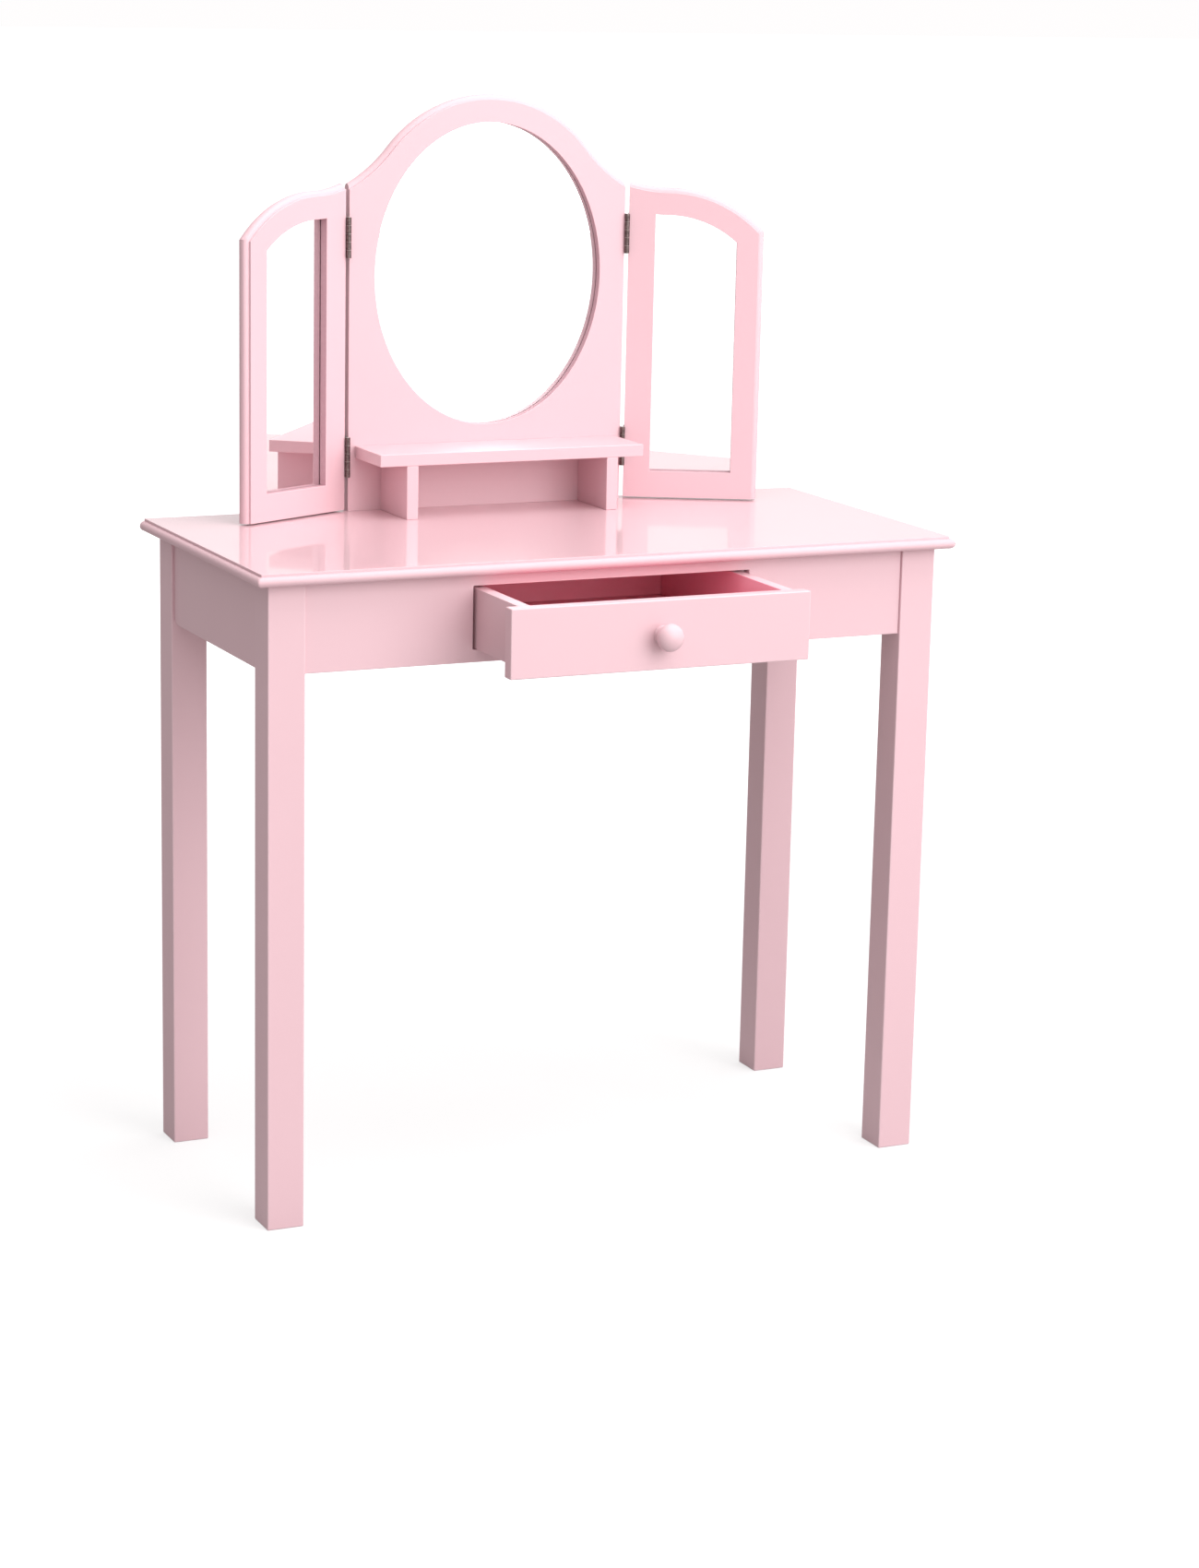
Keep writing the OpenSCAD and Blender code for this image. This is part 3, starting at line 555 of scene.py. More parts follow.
def board(node, radius, material, segments=3):
    """A plain board or post, exactly as large as its node."""
    to_piece(node, blocks([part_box(node)], radius, segments), material)


def prism(outlines, low, high, axis, radius, segments=2):
    """A board cut to an outline, with or without a window, from one level to another."""
    mesh = new_mesh()
    walls = [[loop(mesh, outline, level, axis) for level in (low, high)] for outline in outlines]
    for wall in walls:
        skin(mesh, wall)
    for end in (0, 1):
        fill(mesh, *[wall[end] for wall in walls])
    soften(mesh, radius, segments)
    tidy_mesh(mesh)
    return mesh


def arc(centre, radius, start, end, steps):
    """Points on an arc, without its first one; angles in radians."""
    turns = [start + (end - start) * k / steps for k in range(1, steps + 1)]
    return [(centre[0] + radius * math.cos(a), centre[1] + radius * math.sin(a)) for a in turns]


def ring_points(radius, steps):
    turns = [2 * math.pi * k / steps for k in range(steps)]
    return [(radius * math.cos(a), radius * math.sin(a)) for a in turns]


print("mesh kit: loop, skin, fill, stack, soften, blocks, prism, arc, ring_points")

# %% [markdown]
# The top is one fibreboard panel. A router has run along its front and its
# two ends: a crisp upper arris, a small upright step, and a half round below
# it. The back edge is plain. Stacked outlines show that section exactly and
# mitre themselves at the corners, where a swept profile would need mending.

# %% Moulded section and table top
NOSE = 4.75 * MM
STEP = 2.5 * MM
FINE = 0.35 * MM


def moulded_section(thick, rounds=10):
    """(inset, depth) pairs from a board's face to its back, and the numbers of the worn strips."""
    half = (thick - STEP) / 2
    section = [(NOSE + FINE, 0), (NOSE + 0.3 * FINE, 0.3 * FINE), (NOSE, FINE), (NOSE, STEP - FINE)]
    for k in range(rounds + 1):
        a = math.pi * (k / rounds - 0.5)
        section.append((NOSE - NOSE * math.cos(a), STEP + half + half * math.sin(a)))
    return section, (0, 1)


def top_outline(low, high, inset, depth_share):
    """The top's outline with its front and ends set in, and slightly eased front corners."""
    ease = (1.0 + 1.2 * depth_share) * MM
    left, right, front = low.x + inset, high.x - inset, low.y + inset
    points = [(right, high.y), (left, high.y)]
    for x, turn in ((left + ease, math.pi), (right - ease, 1.5 * math.pi)):
        centre = (x, front + ease)
        points.append((centre[0] + ease * math.cos(turn), centre[1] + ease * math.sin(turn)))
        points += arc(centre, ease, turn, turn + math.pi / 2, 4)
    return points


def moulded_top():
    low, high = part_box("table_top")
    mesh = new_mesh()
    section, worn = moulded_section(high.z - low.z)
    loops = []
    for inset, depth in section:
        outline = top_outline(low, high, inset, 1 - inset / NOSE if inset < NOSE else 0)
        loops.append(loop(mesh, outline, high.z - depth, "Z"))
    skin(mesh, loops, worn)
    nose = mesh.faces.layers.float["nose"]
    for face in mesh.faces:
        face[nose] = 1.0
    fill(mesh, loops[0])
    fill(mesh, loops[-1])
    tidy_mesh(mesh)
    to_piece("table_top", mesh, paint_top)


moulded_top()
print("top: moulded on three sides with a", NOSE / MM, "mm nose")

# %% [markdown]
# The legs are square posts, the aprons are boards between them, set back a
# few millimetres so that each joint shows a fine shadow line. The front
# apron has the drawer's opening cut out of it, and the end aprons are
# rounded off where they meet the back legs.

# %% Legs and aprons
LEG_EASE = 1.3 * MM
BOARD_EASE = 0.8 * MM
CORNER_EASE = 10 * MM
SIDE_GAP, SLIDE_GAP, TOP_GAP = 3 * MM, 0.5 * MM, 2.5 * MM


def rectangle(left, low, right, high):
    return [(left, low), (right, low), (right, high), (left, high)]


def drawer_opening():
    """The opening leaves the drawer's sides their gaps: at each side, below and above."""
    low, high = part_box("drawer_side_left")[0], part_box("drawer_side_right")[1]
    return rectangle(low.x - SIDE_GAP, low.z - SLIDE_GAP, high.x + SIDE_GAP, high.z + TOP_GAP)


def front_apron():
    low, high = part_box("apron_front")
    outlines = [rectangle(low.x, low.z, high.x, high.z), drawer_opening()]
    to_piece("apron_front", prism(outlines, low.y, high.y, "Y", BOARD_EASE), paint_rail)


def end_apron(node):
    low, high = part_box(node)
    ease_y, ease_z = high.y - CORNER_EASE, low.z + CORNER_EASE
    corner = arc((ease_y, ease_z), CORNER_EASE, -math.pi / 2, 0, 8)
    points = [(low.y, high.z), (low.y, low.z), (ease_y, low.z), *corner, (high.y, high.z)]
    to_piece(node, prism([points], low.x, high.x, "X", BOARD_EASE), paint_board)


LEGS = ("leg_front_left", "leg_front_right", "leg_back_left", "leg_back_right")
for leg in LEGS:
    board(leg, LEG_EASE, paint_upright, 4)
front_apron()
board("apron_back", BOARD_EASE, paint_rail)
end_apron("apron_left")
end_apron("apron_right")
print("stand:", len(LEGS), "legs and 4 aprons")

# %% [markdown]
# Some nodes are not one solid but a handful of equal ones: six glue blocks,
# sixteen screws. Their places are read off the CAD mesh. A copy of it is
# welded and walked from point to point, which splits it into islands.


# %% Braces, glue blocks and runners
def islands(node):
    """The separate solids of a CAD node, each as a list of its points."""
    mesh = bmesh.new()
    mesh.from_mesh(frame["nodes"][node].data)
    bmesh.ops.remove_doubles(mesh, verts=mesh.verts, dist=1e-6)
    seen, found = set(), []
    for start in mesh.verts:
        if start in seen:
            continue
        seen.add(start)
        island = [start]
        for vert in island:
            fresh = {edge.other_vert(vert) for edge in vert.link_edges} - seen
            fresh = sorted(fresh, key=lambda other: other.index)
            seen.update(fresh)
            island += fresh
        found.append([vert.co.copy() for vert in island])
    mesh.free()
    return found


def corners_of(points):
    return (Vector(map(min, zip(*points))), Vector(map(max, zip(*points))))


def brace(node):
    """A diagonal board; seen from above, its outline is the hull of its points."""
    points = [point.xy for island in islands(node) for point in island]
    outline = [points[i] for i in geometry.convex_hull_2d(points)]
    outline = [p for i, p in enumerate(outline) if (p - outline[i - 1]).length > 0.1 * MM]
    low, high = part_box(node)
    to_piece(node, prism([outline], low.z, high.z, "Z", BOARD_EASE), paint_board)


def runner(node, side):
    """An L-shaped rail: the drawer's side slides on its ledge, and its guide stands beside it."""
    low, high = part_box(node)
    opening = drawer_opening()
    ledge, guide = side * (low.x if side > 0 else high.x), opening[1][0]
    outer, rail = side * (high.x if side > 0 else low.x), opening[0][1]
    points = [
        (ledge, low.z), (outer, low.z), (outer, high.z),
        (guide, high.z), (guide, rail), (ledge, rail)]
    outline = [(side * x, z) for x, z in points]
    to_piece(node, prism([outline], low.y, high.y, "Y", BOARD_EASE), softwood)


for corner in ("front_left", "front_right", "back_left", "back_right"):
    brace("brace_" + corner)
glue_boxes = [corners_of(points) for points in islands("glue_blocks")]
to_piece("glue_blocks", blocks(glue_boxes, 0.9 * MM), softwood)
runner("runner_left", -1)
runner("runner_right", 1)
print("under the top: 4 braces,", len(glue_boxes), "glue blocks and 2 runners")

# %% [markdown]
# The drawer is a plain box behind a wider front. Its sides are grooved for
# the thin bottom, and the groove shows at the back end of each side. The
# knob is turned: its outline swings from a flared foot through a narrow neck
# to a flattened ball, so a stack of circles gives it in one go.


# %% Drawer
SIDE_EASE, FRONT_EASE, SMALL_EASE = 0.7 * MM, 1.1 * MM, 0.4 * MM
GROOVE_DEPTH = 5 * MM
KNOB_STEPS = 40
FOOT_R, NECK_R, NECK_Z, BALL_HALF = 9.5 * MM, 7.5 * MM, 6 * MM, 10 * MM
BALL_START, BALL_SWEEP = -50, 140


def mark_inside(mesh):
    """Marks the faces that look into the drawer."""
    inside = mesh.faces.layers.float["inside"]
    left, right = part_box("drawer_side_left"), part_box("drawer_side_right")
    middle = (left[0] + right[1]) / 2
    for face in mesh.faces:
        face[inside] = 1.0 if (middle - face.calc_center_median()).dot(face.normal) > 1e-4 else 0.0
    return mesh


def grooved_side(node, side):
    low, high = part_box(node)
    groove_low, groove_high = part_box("drawer_bottom")[0].z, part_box("drawer_back")[0].z
    outer, inner = (high.x, low.x) if side > 0 else (-low.x, -high.x)
    deep = inner + GROOVE_DEPTH
    points = [
        (outer, low.z), (outer, high.z), (inner, high.z), (inner, groove_high),
        (deep, groove_high), (deep, groove_low), (inner, groove_low), (inner, low.z)]
    outline = [(side * x, z) for x, z in points]
    mesh = prism([outline], low.y, high.y, "Y", SIDE_EASE)
    to_piece(node, mark_inside(mesh), paint_board)


def turned(profile, steps=16, worn=()):
    """A closed solid turned about Z from (radius, height) pairs."""
    mesh = new_mesh()
    stack(mesh, [loop(mesh, ring_points(r, steps), z, "Z") for r, z in profile], worn)
    tidy_mesh(mesh)
    return mesh


def knob():
    low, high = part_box("drawer_knob")
    ball_r, ball_z = (high.x - low.x) / 2, high.y - low.y - BALL_HALF
    profile = [(FOOT_R - SMALL_EASE, 0), (FOOT_R, SMALL_EASE)]
    for k in range(1, 9):
        sweep = 1 - math.sin(math.pi / 2 * k / 8)
        profile.append((NECK_R + (FOOT_R - NECK_R) * sweep, NECK_Z * k / 8))
    for k in range(24):
        a = math.radians(BALL_START + BALL_SWEEP * k / 24)
        profile.append((ball_r * math.cos(a), ball_z + BALL_HALF * math.sin(a)))
    mesh = turned(profile, KNOB_STEPS, worn=(0,))
    middle = (low + high) / 2
    place = Matrix.Translation((middle.x, high.y, middle.z)) @ Matrix.Rotation(math.pi / 2, 4, "X")
    bmesh.ops.transform(mesh, matrix=place, verts=mesh.verts)
    to_piece("drawer_knob", mesh, paint_board)


def inner_board(node, radius, material, segments=3):
    to_piece(node, mark_inside(blocks([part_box(node)], radius, segments)), material)


inner_board("drawer_front", FRONT_EASE, paint_rail, 4)
grooved_side("drawer_side_left", -1)
grooved_side("drawer_side_right", 1)
inner_board("drawer_back", SIDE_EASE, paint_rail)
inner_board("drawer_bottom", SMALL_EASE, paint_board)
knob()
print("drawer: 5 boards and a turned knob")

# %% [markdown]
# The little shelf stands on two narrow supports in front of the centre
# mirror. It is plain board with crisp edges, so softened blocks are enough.

# %% Shelf
SHELF_NODES = ("shelf_board", "shelf_support_left", "shelf_support_right")
for node in SHELF_NODES:
    board(node, SIDE_EASE, paint_board)
print("shelf:", len(SHELF_NODES), "pieces")

# %% [markdown]
# The centre frame's outline is a rule: a broad arch, and a hollow arc at
# each shoulder that touches it. Both radii move together when the outline is
# set in, so one function gives the arris, the step and every line of the
# half round below it. The window is an oval, with a rebate for the glass and
# a wider one for the backing.

# %% Centre frame
FRAME_LOW, FRAME_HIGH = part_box("center_frame")
THICK = FRAME_HIGH.y - FRAME_LOW.y
FOOT_Z = FRAME_LOW.z
HALF_W = (FRAME_HIGH.x - FRAME_LOW.x) / 2
RIM = 27 * MM
SHOULDER_H = 322 * MM
SHOULDER_RUN = 21 * MM
HOLLOW_R = 145 * MM
REVEAL = 8 * MM
SILVER_DEPTH = 0.8 * MM
GLASS_LAP = 6 * MM
BOARD_LAP = 13 * MM
REBATE_GAP = 0.2 * MM
SHEET, SHEET_EASE, GLASS_EASE = 3 * MM, 0.4 * MM, 0.3 * MM
CURVE_STEPS, HOLLOW_STEPS = 28, 14

rise = FRAME_HIGH.z - FOOT_Z - SHOULDER_H
half_arch = HALF_W - SHOULDER_RUN
arch_r = (half_arch ** 2 + rise ** 2) / (2 * rise)
arch_z = SHOULDER_H + rise - arch_r


def hollow_centre():
    """Where a hollow that passes the shoulder's corner touches the arch from outside."""
    corner = Vector((HALF_W, SHOULDER_H - arch_z))
    both = arch_r + HOLLOW_R
    along = (both ** 2 - HOLLOW_R ** 2 + corner.length_squared) / (2 * corner.length)
    across = math.sqrt(both ** 2 - along ** 2)
    away = corner.normalized()
    return Vector((0, arch_z)) + along * away + across * Vector((-away.y, away.x))


hollow = hollow_centre()
touch = math.atan2(hollow.y - arch_z, hollow.x)


def arched_outline(top_in, side_in):
    """The centre frame's outline, with its top curves and its plain sides set in."""
    x, r = HALF_W - side_in, HOLLOW_R + top_in
    start = math.pi + math.acos((hollow.x - x) / r)
    right = [(x, hollow.y + r * math.sin(start))] + arc(hollow, r, start, math.pi + touch, HOLLOW_STEPS)
    over = arc((0, arch_z), arch_r - top_in, touch, math.pi - touch, 2 * CURVE_STEPS)[:-1]
    left = [(-px, pz) for px, pz in reversed(right)]
    outline = [(-x, side_in), (x, side_in), *right, *over, *left]
    return [(px, FOOT_Z + pz) for px, pz in outline]


def oval(grow, steps=160):
    low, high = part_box("center_mirror")
    half_x = (high.x - low.x) / 2 - GLASS_LAP + grow
    half_z = (high.z - low.z) / 2 - GLASS_LAP + grow
    middle = (low.z + high.z) / 2
    turns = [2 * math.pi * k / steps for k in range(steps)]
    return [(half_x * math.cos(a), middle + half_z * math.sin(a)) for a in turns]


print("arch radius:", round(arch_r, 3), "m, touching a hollow of", HOLLOW_R, "m")

# %% [markdown]
# A frame is then two stacks of loops: the outside, which follows the same
# moulded section as the table top, and the window with its rebates. The
# wings' windows keep their sharp corners, because the outline function sets
# every side in by the same amount.


# %% Frame stacks
def frame_mesh(outside, window):
    """outside(top_in, side_in) and window(grow) give a frame's outlines from front to back."""
    mesh = new_mesh()
    front = FRAME_LOW.y
    section, worn = moulded_section(THICK)
    last = len(section) - 1
    plain = {0: FINE, 1: 0.3 * FINE, last: FINE}
    outer = [
        loop(mesh, outside(inset, plain.get(k, 0)), front + depth, "Y")
        for k, (inset, depth) in enumerate(section)]
    steps = [
        (FINE, 0), (0.3 * FINE, 0.3 * FINE), (0, FINE), (0, REVEAL),
        (GLASS_LAP + REBATE_GAP, REVEAL), (GLASS_LAP + REBATE_GAP, REVEAL + SHEET),
        (BOARD_LAP + REBATE_GAP, REVEAL + SHEET), (BOARD_LAP + REBATE_GAP, THICK)]
    inner = [loop(mesh, window(grow), front + depth, "Y") for grow, depth in steps]
    skin(mesh, outer, (*worn, last - 1))
    skin(mesh, inner, (0, 1))
    # Marks the window's wall, which gets painted shade.
    reveal = mesh.faces.layers.float["reveal"]
    for vert in inner[3]:
        for face in vert.link_faces:
            face[reveal] = 1.0
    fill(mesh, outer[0], inner[0])
    fill(mesh, outer[-1], inner[-1])
    return mesh


def thin_plate(outline, thick, ease, start):
    """A glass or a backing board: outline(inset) at four levels, so that its rim is ground."""
    mesh = new_mesh()
    levels = ((ease, 0), (0, ease), (0, thick - ease), (ease, thick))
    stack(mesh, [loop(mesh, outline(inset), start + depth, "Y") for inset, depth in levels], (0, 2))
    return mesh


def glass_and_board(window):
    """The mirror and its backing board; the silver lies a little behind the glass's face."""
    silver_y, board_y = FRAME_LOW.y + REVEAL + SILVER_DEPTH, FRAME_LOW.y + REVEAL + SHEET
    glass = thin_plate(lambda inset: window(GLASS_LAP - inset), board_y - silver_y, GLASS_EASE, silver_y)
    board = thin_plate(lambda inset: window(BOARD_LAP - inset), SHEET, SHEET_EASE, board_y)
    return glass, board


def centre_panel():
    glass, board = glass_and_board(oval)
    parts = (
        ("center_frame", frame_mesh(arched_outline, oval), paint_board),
        ("center_mirror", glass, mirror_glass),
        ("center_backing", board, hardboard))
    for node, mesh, material in parts:
        tidy_mesh(mesh)
        to_piece(node, mesh, material)


centre_panel()
print("centre: frame, mirror and backing board")

# %% [markdown]
# The wings are drawn flat, in line with the centre frame, and then turned
# about their hinge line by the angle that the joint still has to go to lie
# flat again. The left wing is the right one mirrored. A mirrored mesh is
# inside out until its normals are worked out again.

# %% Wings
joints = {joint["name"]: joint for joint in record["behaviour"]["joints"]}
right_joint = joints["wing_right_hinge"]
PIVOT = Vector((*right_joint["pos_m"][:2], 0))
FOLD = -math.radians(right_joint["range_deg"][0])
WING_X = PIVOT.x + 1.5 * MM
WING_W = 137 * MM
WING_GAP = 1.5 * MM
DIP_RUN = 40 * MM
DROP = 42 * MM
DIP_Z = SHOULDER_H - HOLLOW_R + math.sqrt(HOLLOW_R ** 2 - DIP_RUN ** 2)
CROWN_RUN = WING_W - DIP_RUN
CROWN_R = (CROWN_RUN ** 2 + DROP ** 2) / (2 * DROP)
SIDES = {"left": -1, "right": 1}


def wing_outline(hinge_in, foot_in, outer_in, top_in):
    near, far = WING_X + hinge_in, WING_X + WING_W - outer_in
    dip = WING_X + DIP_RUN
    crown, bowl = CROWN_R - top_in, HOLLOW_R + top_in
    crown_z, bowl_z = DIP_Z - CROWN_R, DIP_Z + HOLLOW_R
    start = math.pi / 2 - math.asin((far - dip) / crown)
    end = 1.5 * math.pi - math.asin((dip - near) / bowl)
    outline = [(near, WING_GAP + foot_in), (far, WING_GAP + foot_in)]
    outline += [(far, crown_z + crown * math.sin(start))]
    outline += arc((dip, crown_z), crown, start, math.pi / 2, CURVE_STEPS)
    outline += arc((dip, bowl_z), bowl, 1.5 * math.pi, end, HOLLOW_STEPS)
    return [(x, FOOT_Z + z) for x, z in outline]


def wing_window(grow):
    inset = RIM - grow
    return wing_outline(inset, inset, inset, inset)


def fold(mesh, side):
    """Turns a flat right-hand mesh about the hinge line, and mirrors it for the left."""
    turn = Matrix.Translation(PIVOT) @ Matrix.Rotation(-FOLD, 4, "Z") @ Matrix.Translation(-PIVOT)
    place = Matrix.Diagonal((SIDES[side], 1, 1, 1)) @ turn
    bmesh.ops.transform(mesh, matrix=place, verts=mesh.verts)
    tidy_mesh(mesh)
    return mesh


def wing(side):
    outer = frame_mesh(lambda inset, plain: wing_outline(plain, plain, inset, inset), wing_window)
    glass, board = glass_and_board(wing_window)
    parts = (("frame", outer, paint_board), ("mirror", glass, mirror_glass), ("backing", board, hardboard))
    for kind, mesh, material in parts:
        to_piece(f"wing_{kind}_{side}", fold(mesh, side), material)


for side in SIDES:
    wing(side)
print("wings: folded forward by", round(math.degrees(FOLD), 1), "degrees")

# %% [markdown]
# Everything that repeats is left to Geometry Nodes. A `Recipe` is a tree
# with named inputs; `run` gives an object the recipe as a modifier, sets its
# inputs by socket identifier, and takes the result as one plain mesh. The
# first recipe sets a small part on every point of a mesh, turned to face
# along the point's `aim` and spun by a seeded random angle, as screws are.


# %% Recipes and small parts
class Recipe(Tree):
    """A Geometry Nodes tree with named inputs."""

    def __init__(self, name, inputs):
        super().__init__(bpy.data.node_groups.new(name, "GeometryNodeTree"))
        for label, kind in {"Geometry": "Geometry", **inputs}.items():
            self.tree.interface.new_socket(label, in_out="INPUT", socket_type="NodeSocket" + kind)
        self.tree.interface.new_socket("Geometry", in_out="OUTPUT", socket_type="NodeSocketGeometry")
        self.entry = self.tree.nodes.new("NodeGroupInput")

    def take(self, name):
        return Wire(self, self.find(self.entry.outputs, name))

    def finish_with(self, shape):
        solid = self.add("GeometryNodeRealizeInstances", {}, {"Geometry": shape})
        finish = self.take("Finish")
        painted = self.add("GeometryNodeSetMaterial", {}, {"Geometry": solid, "Material": finish})
        self.add("NodeGroupOutput", {}, {"Geometry": painted})

    def run(self, source, **values):
        modifier = source.modifiers.new("recipe", "NODES")
        modifier.node_group = self.tree
        sockets = {item.name: item.identifier for item in self.tree.interface.items_tree}
        for name, value in values.items():
            modifier[sockets[name]] = value
        show(source)
        graph = bpy.context.evaluated_depsgraph_get()
        mesh = bpy.data.meshes.new_from_object(
            source.evaluated_get(graph), preserve_all_data_layers=True, depsgraph=graph)
        source.modifiers.remove(modifier)
        bpy.data.objects.remove(source)
        return mesh


def fastener_recipe():
    recipe = Recipe("fasteners", {"Part": "Object", "Seed": "Int", "Finish": "Material"})
    aim = recipe.add(
        "GeometryNodeInputNamedAttribute", {"data_type": "FLOAT_VECTOR"}, {"Name": "aim"}, "Attribute")
    facing = recipe.add("FunctionNodeAlignRotationToVector", {"axis": "Z"}, {"Vector": aim})
    angle = recipe.add(
        "FunctionNodeRandomValue", {"data_type": "FLOAT"},
        {"Min_001": 0.0, "Max_001": 2 * math.pi, "Seed": recipe.take("Seed")}, "Value_001")
    spin = recipe.add("FunctionNodeAxisAngleToRotation", {}, {"Axis": (0, 0, 1), "Angle": angle})
    turned_in = recipe.add(
        "FunctionNodeRotateRotation", {"rotation_space": "LOCAL"}, {"Rotation": facing, "Rotate By": spin})
    part = recipe.add("GeometryNodeObjectInfo", {}, {"Object": recipe.take("Part")}, "Geometry")
    recipe.finish_with(recipe.add(
        "GeometryNodeInstanceOnPoints", {},
        {"Points": recipe.take("Geometry"), "Instance": part, "Rotation": turned_in}))
    return recipe


fasteners = fastener_recipe()
print("recipe:", fasteners.tree.name, "with", len(fasteners.tree.nodes), "nodes")

# %% [markdown]
# A station is where a small part's outer end is and the way it faces. The
# CAD mesh gives both once the axis is known: the part's widths lie across
# it, and its outer end is the farthest point along it.


# %% Stations
def span(points, axis):
    along = [point.dot(axis) for point in points]
    return min(along), max(along)


def stations(node, aim_of):
    """Outer end and facing of each small part of a node, and the parts' radius and length."""
    places = []
    for points in islands(node):
        aim = aim_of(points).normalized()
        side = aim.orthogonal().normalized()
        across = aim.cross(side)
        spans = [span(points, axis) for axis in (side, across, aim)]
        end = side * sum(spans[0]) / 2 + across * sum(spans[1]) / 2 + aim * spans[2][1]
        places.append((end, aim))
    return places, (spans[0][1] - spans[0][0]) / 2, spans[2][1] - spans[2][0]


def fit_parts(node, aim_of, shape, finish, seed):
    """Sets shape(radius, length) at every station of a node."""
    places, radius, length = stations(node, aim_of)
    points = bpy.data.meshes.new("stations")
    points.from_pydata([end for end, aim in places], [], [])
    aims = points.attributes.new("aim", "FLOAT_VECTOR", "POINT")
    aims.data.foreach_set("vector", [value for end, aim in places for value in aim])
    part = to_object("part", shape(radius, length))
    show(part)
    mesh = fasteners.run(bpy.data.objects.new("stations", points), Part=part, Seed=seed, Finish=finish)
    bpy.data.objects.remove(part)
    settle(bpy.data.objects.new("made_" + node, mesh), node)
    return len(places)


def towards(x, y, z):
    """The same facing for every part of a node."""
    return lambda points: Vector((x, y, z))


def inward(points):
    """From a corner joint towards the middle of the table, at 45 degrees."""
    middle = (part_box("apron_front")[0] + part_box("apron_back")[1]) / 2
    away = middle - points[0]
    return Vector((math.copysign(1, away.x), math.copysign(1, away.y), 0))


backward, downward, upward = towards(0, 1, 0), towards(0, 0, -1), towards(0, 0, 1)
print("stations: an outer end and a facing for each small part")

# %% [markdown]
# A wood screw is a stack of loops too: a point, a thread whose ridge climbs
# one pitch in each turn, a plain shank, a countersunk cone and a slightly
# raised head. The driver's cross is a window in the head with a floor.


# %% Screws
SCREW_STEPS = 16
CORE = 0.76


def threaded(mesh, radius, low, high, pitch):
    """Rings whose ridge climbs one pitch in each turn, around a core of that share."""
    levels = max(4, round((high - low) / pitch * 4))
    rings = []
    for i in range(levels + 1):
        z = low + (high - low) * i / levels
        points = []
        for k in range(SCREW_STEPS):
            ridge = 1 - abs(2 * ((z / pitch - k / SCREW_STEPS) % 1) - 1)
            r, a = radius * (CORE + (1 - CORE) * ridge), 2 * math.pi * k / SCREW_STEPS
            points.append((r * math.cos(a), r * math.sin(a)))
        rings.append(loop(mesh, points, z, "Z"))
    return rings


def circles(mesh, *sizes):
    """One ring for each (radius, height)."""
    return [loop(mesh, ring_points(radius, SCREW_STEPS), z, "Z") for radius, z in sizes]


def cross(mesh, head, reach, half, z):
    """The driver's cross: four arms, whose reach and half width are shares of the head."""
    reach, half = reach * head, half * head
    arm = [(reach, -half), (reach, half), (half, half)]
    points = []
    for k in range(4):
        turn = Matrix.Rotation(math.pi / 2 * k, 2)
        points += [tuple(turn @ Vector(point)) for point in arm]
    return loop(mesh, points, z, "Z")


def driven(mesh, rings, worn, mouth, floor):
    """Joins a screw's rings and sinks the driver's cross into its head."""
    skin(mesh, rings, worn)
    skin(mesh, [mouth, floor])
    fill(mesh, rings[0])
    fill(mesh, rings[-1], mouth)
    fill(mesh, floor)
    tidy_mesh(mesh, TURNED_CREASE)
    return mesh


def screw_shape(head, length):
    """A countersunk screw whose rim is at z = 0 and whose point is below it."""
    mesh = new_mesh()
    shank, raised = head / 2, 0.10 * head
    rings = circles(mesh, (0.12 * shank, -length))
    rings += threaded(mesh, shank, -length + 1.6 * shank, -0.40 * length - shank, 0.9 * shank)
    rings += circles(
        mesh, (shank, -0.36 * length - shank), (shank, -shank * 1.1), (head, -0.10 * head), (head, 0),
        (0.93 * head, 0.6 * raised), (0.66 * head, raised))
    mouth = cross(mesh, head, 0.52, 0.13, raised)
    floor = cross(mesh, head, 0.36, 0.08, -0.32 * head)
    return driven(mesh, rings, (len(rings) - 4, len(rings) - 3), mouth, floor)


def outward(points):
    """The centre's hinge screws face away from the centre frame."""
    return Vector((math.copysign(1, points[0].x), 0, 0))


def folded_aim(x, y):
    """A flat right-hand wing's direction, turned and mirrored to the side of the points."""
    flat = Matrix.Rotation(-FOLD, 3, "Z") @ Vector((x, y, 0))
    return lambda points: Vector((math.copysign(1, points[0].x) * flat.x, flat.y, 0))


SCREWS = {
    "brace_screws": inward, "runner_screws": backward, "shelf_screws": backward,
    "panel_screws": downward, "center_backing_screws": backward, "hinge_screws_center": outward,
    "wing_backing_screws_left": folded_aim(0, 1), "wing_backing_screws_right": folded_aim(0, 1),
    "hinge_screws_wing_left": folded_aim(-1, 0), "hinge_screws_wing_right": folded_aim(-1, 0)}
screw_count = sum(
    fit_parts(node, aim_of, screw_shape, zinc if "hinge" not in node else nickel, seed)
    for seed, (node, aim_of) in enumerate(SCREWS.items()))
print("screws:", screw_count, "in", len(SCREWS), "sets")

# %% [markdown]
# Each leg is pulled up against its brace by two hanger bolts with a washer
# and a nut, as on most flat-packed tables. Dowels, the hinges' pins and the
# knob's screw are the rest of the turned hardware.


# %% Bolts, washers, nuts, dowels and pins
BOLT_HOLE = 3.1 * MM
PAN_THICK = 2.2 * MM


def bolt_shape(radius, length):
    mesh = new_mesh()
    ease = 0.25 * radius
    rings = circles(mesh, (0.4 * radius, -length), (radius, -0.55 * length))
    rings += threaded(mesh, radius, -0.5 * length, -2 * ease, 0.36 * radius)
    stack(mesh, rings + circles(mesh, (0.76 * radius, -ease), (0.6 * radius, 0)))
    tidy_mesh(mesh, TURNED_CREASE)
    return mesh


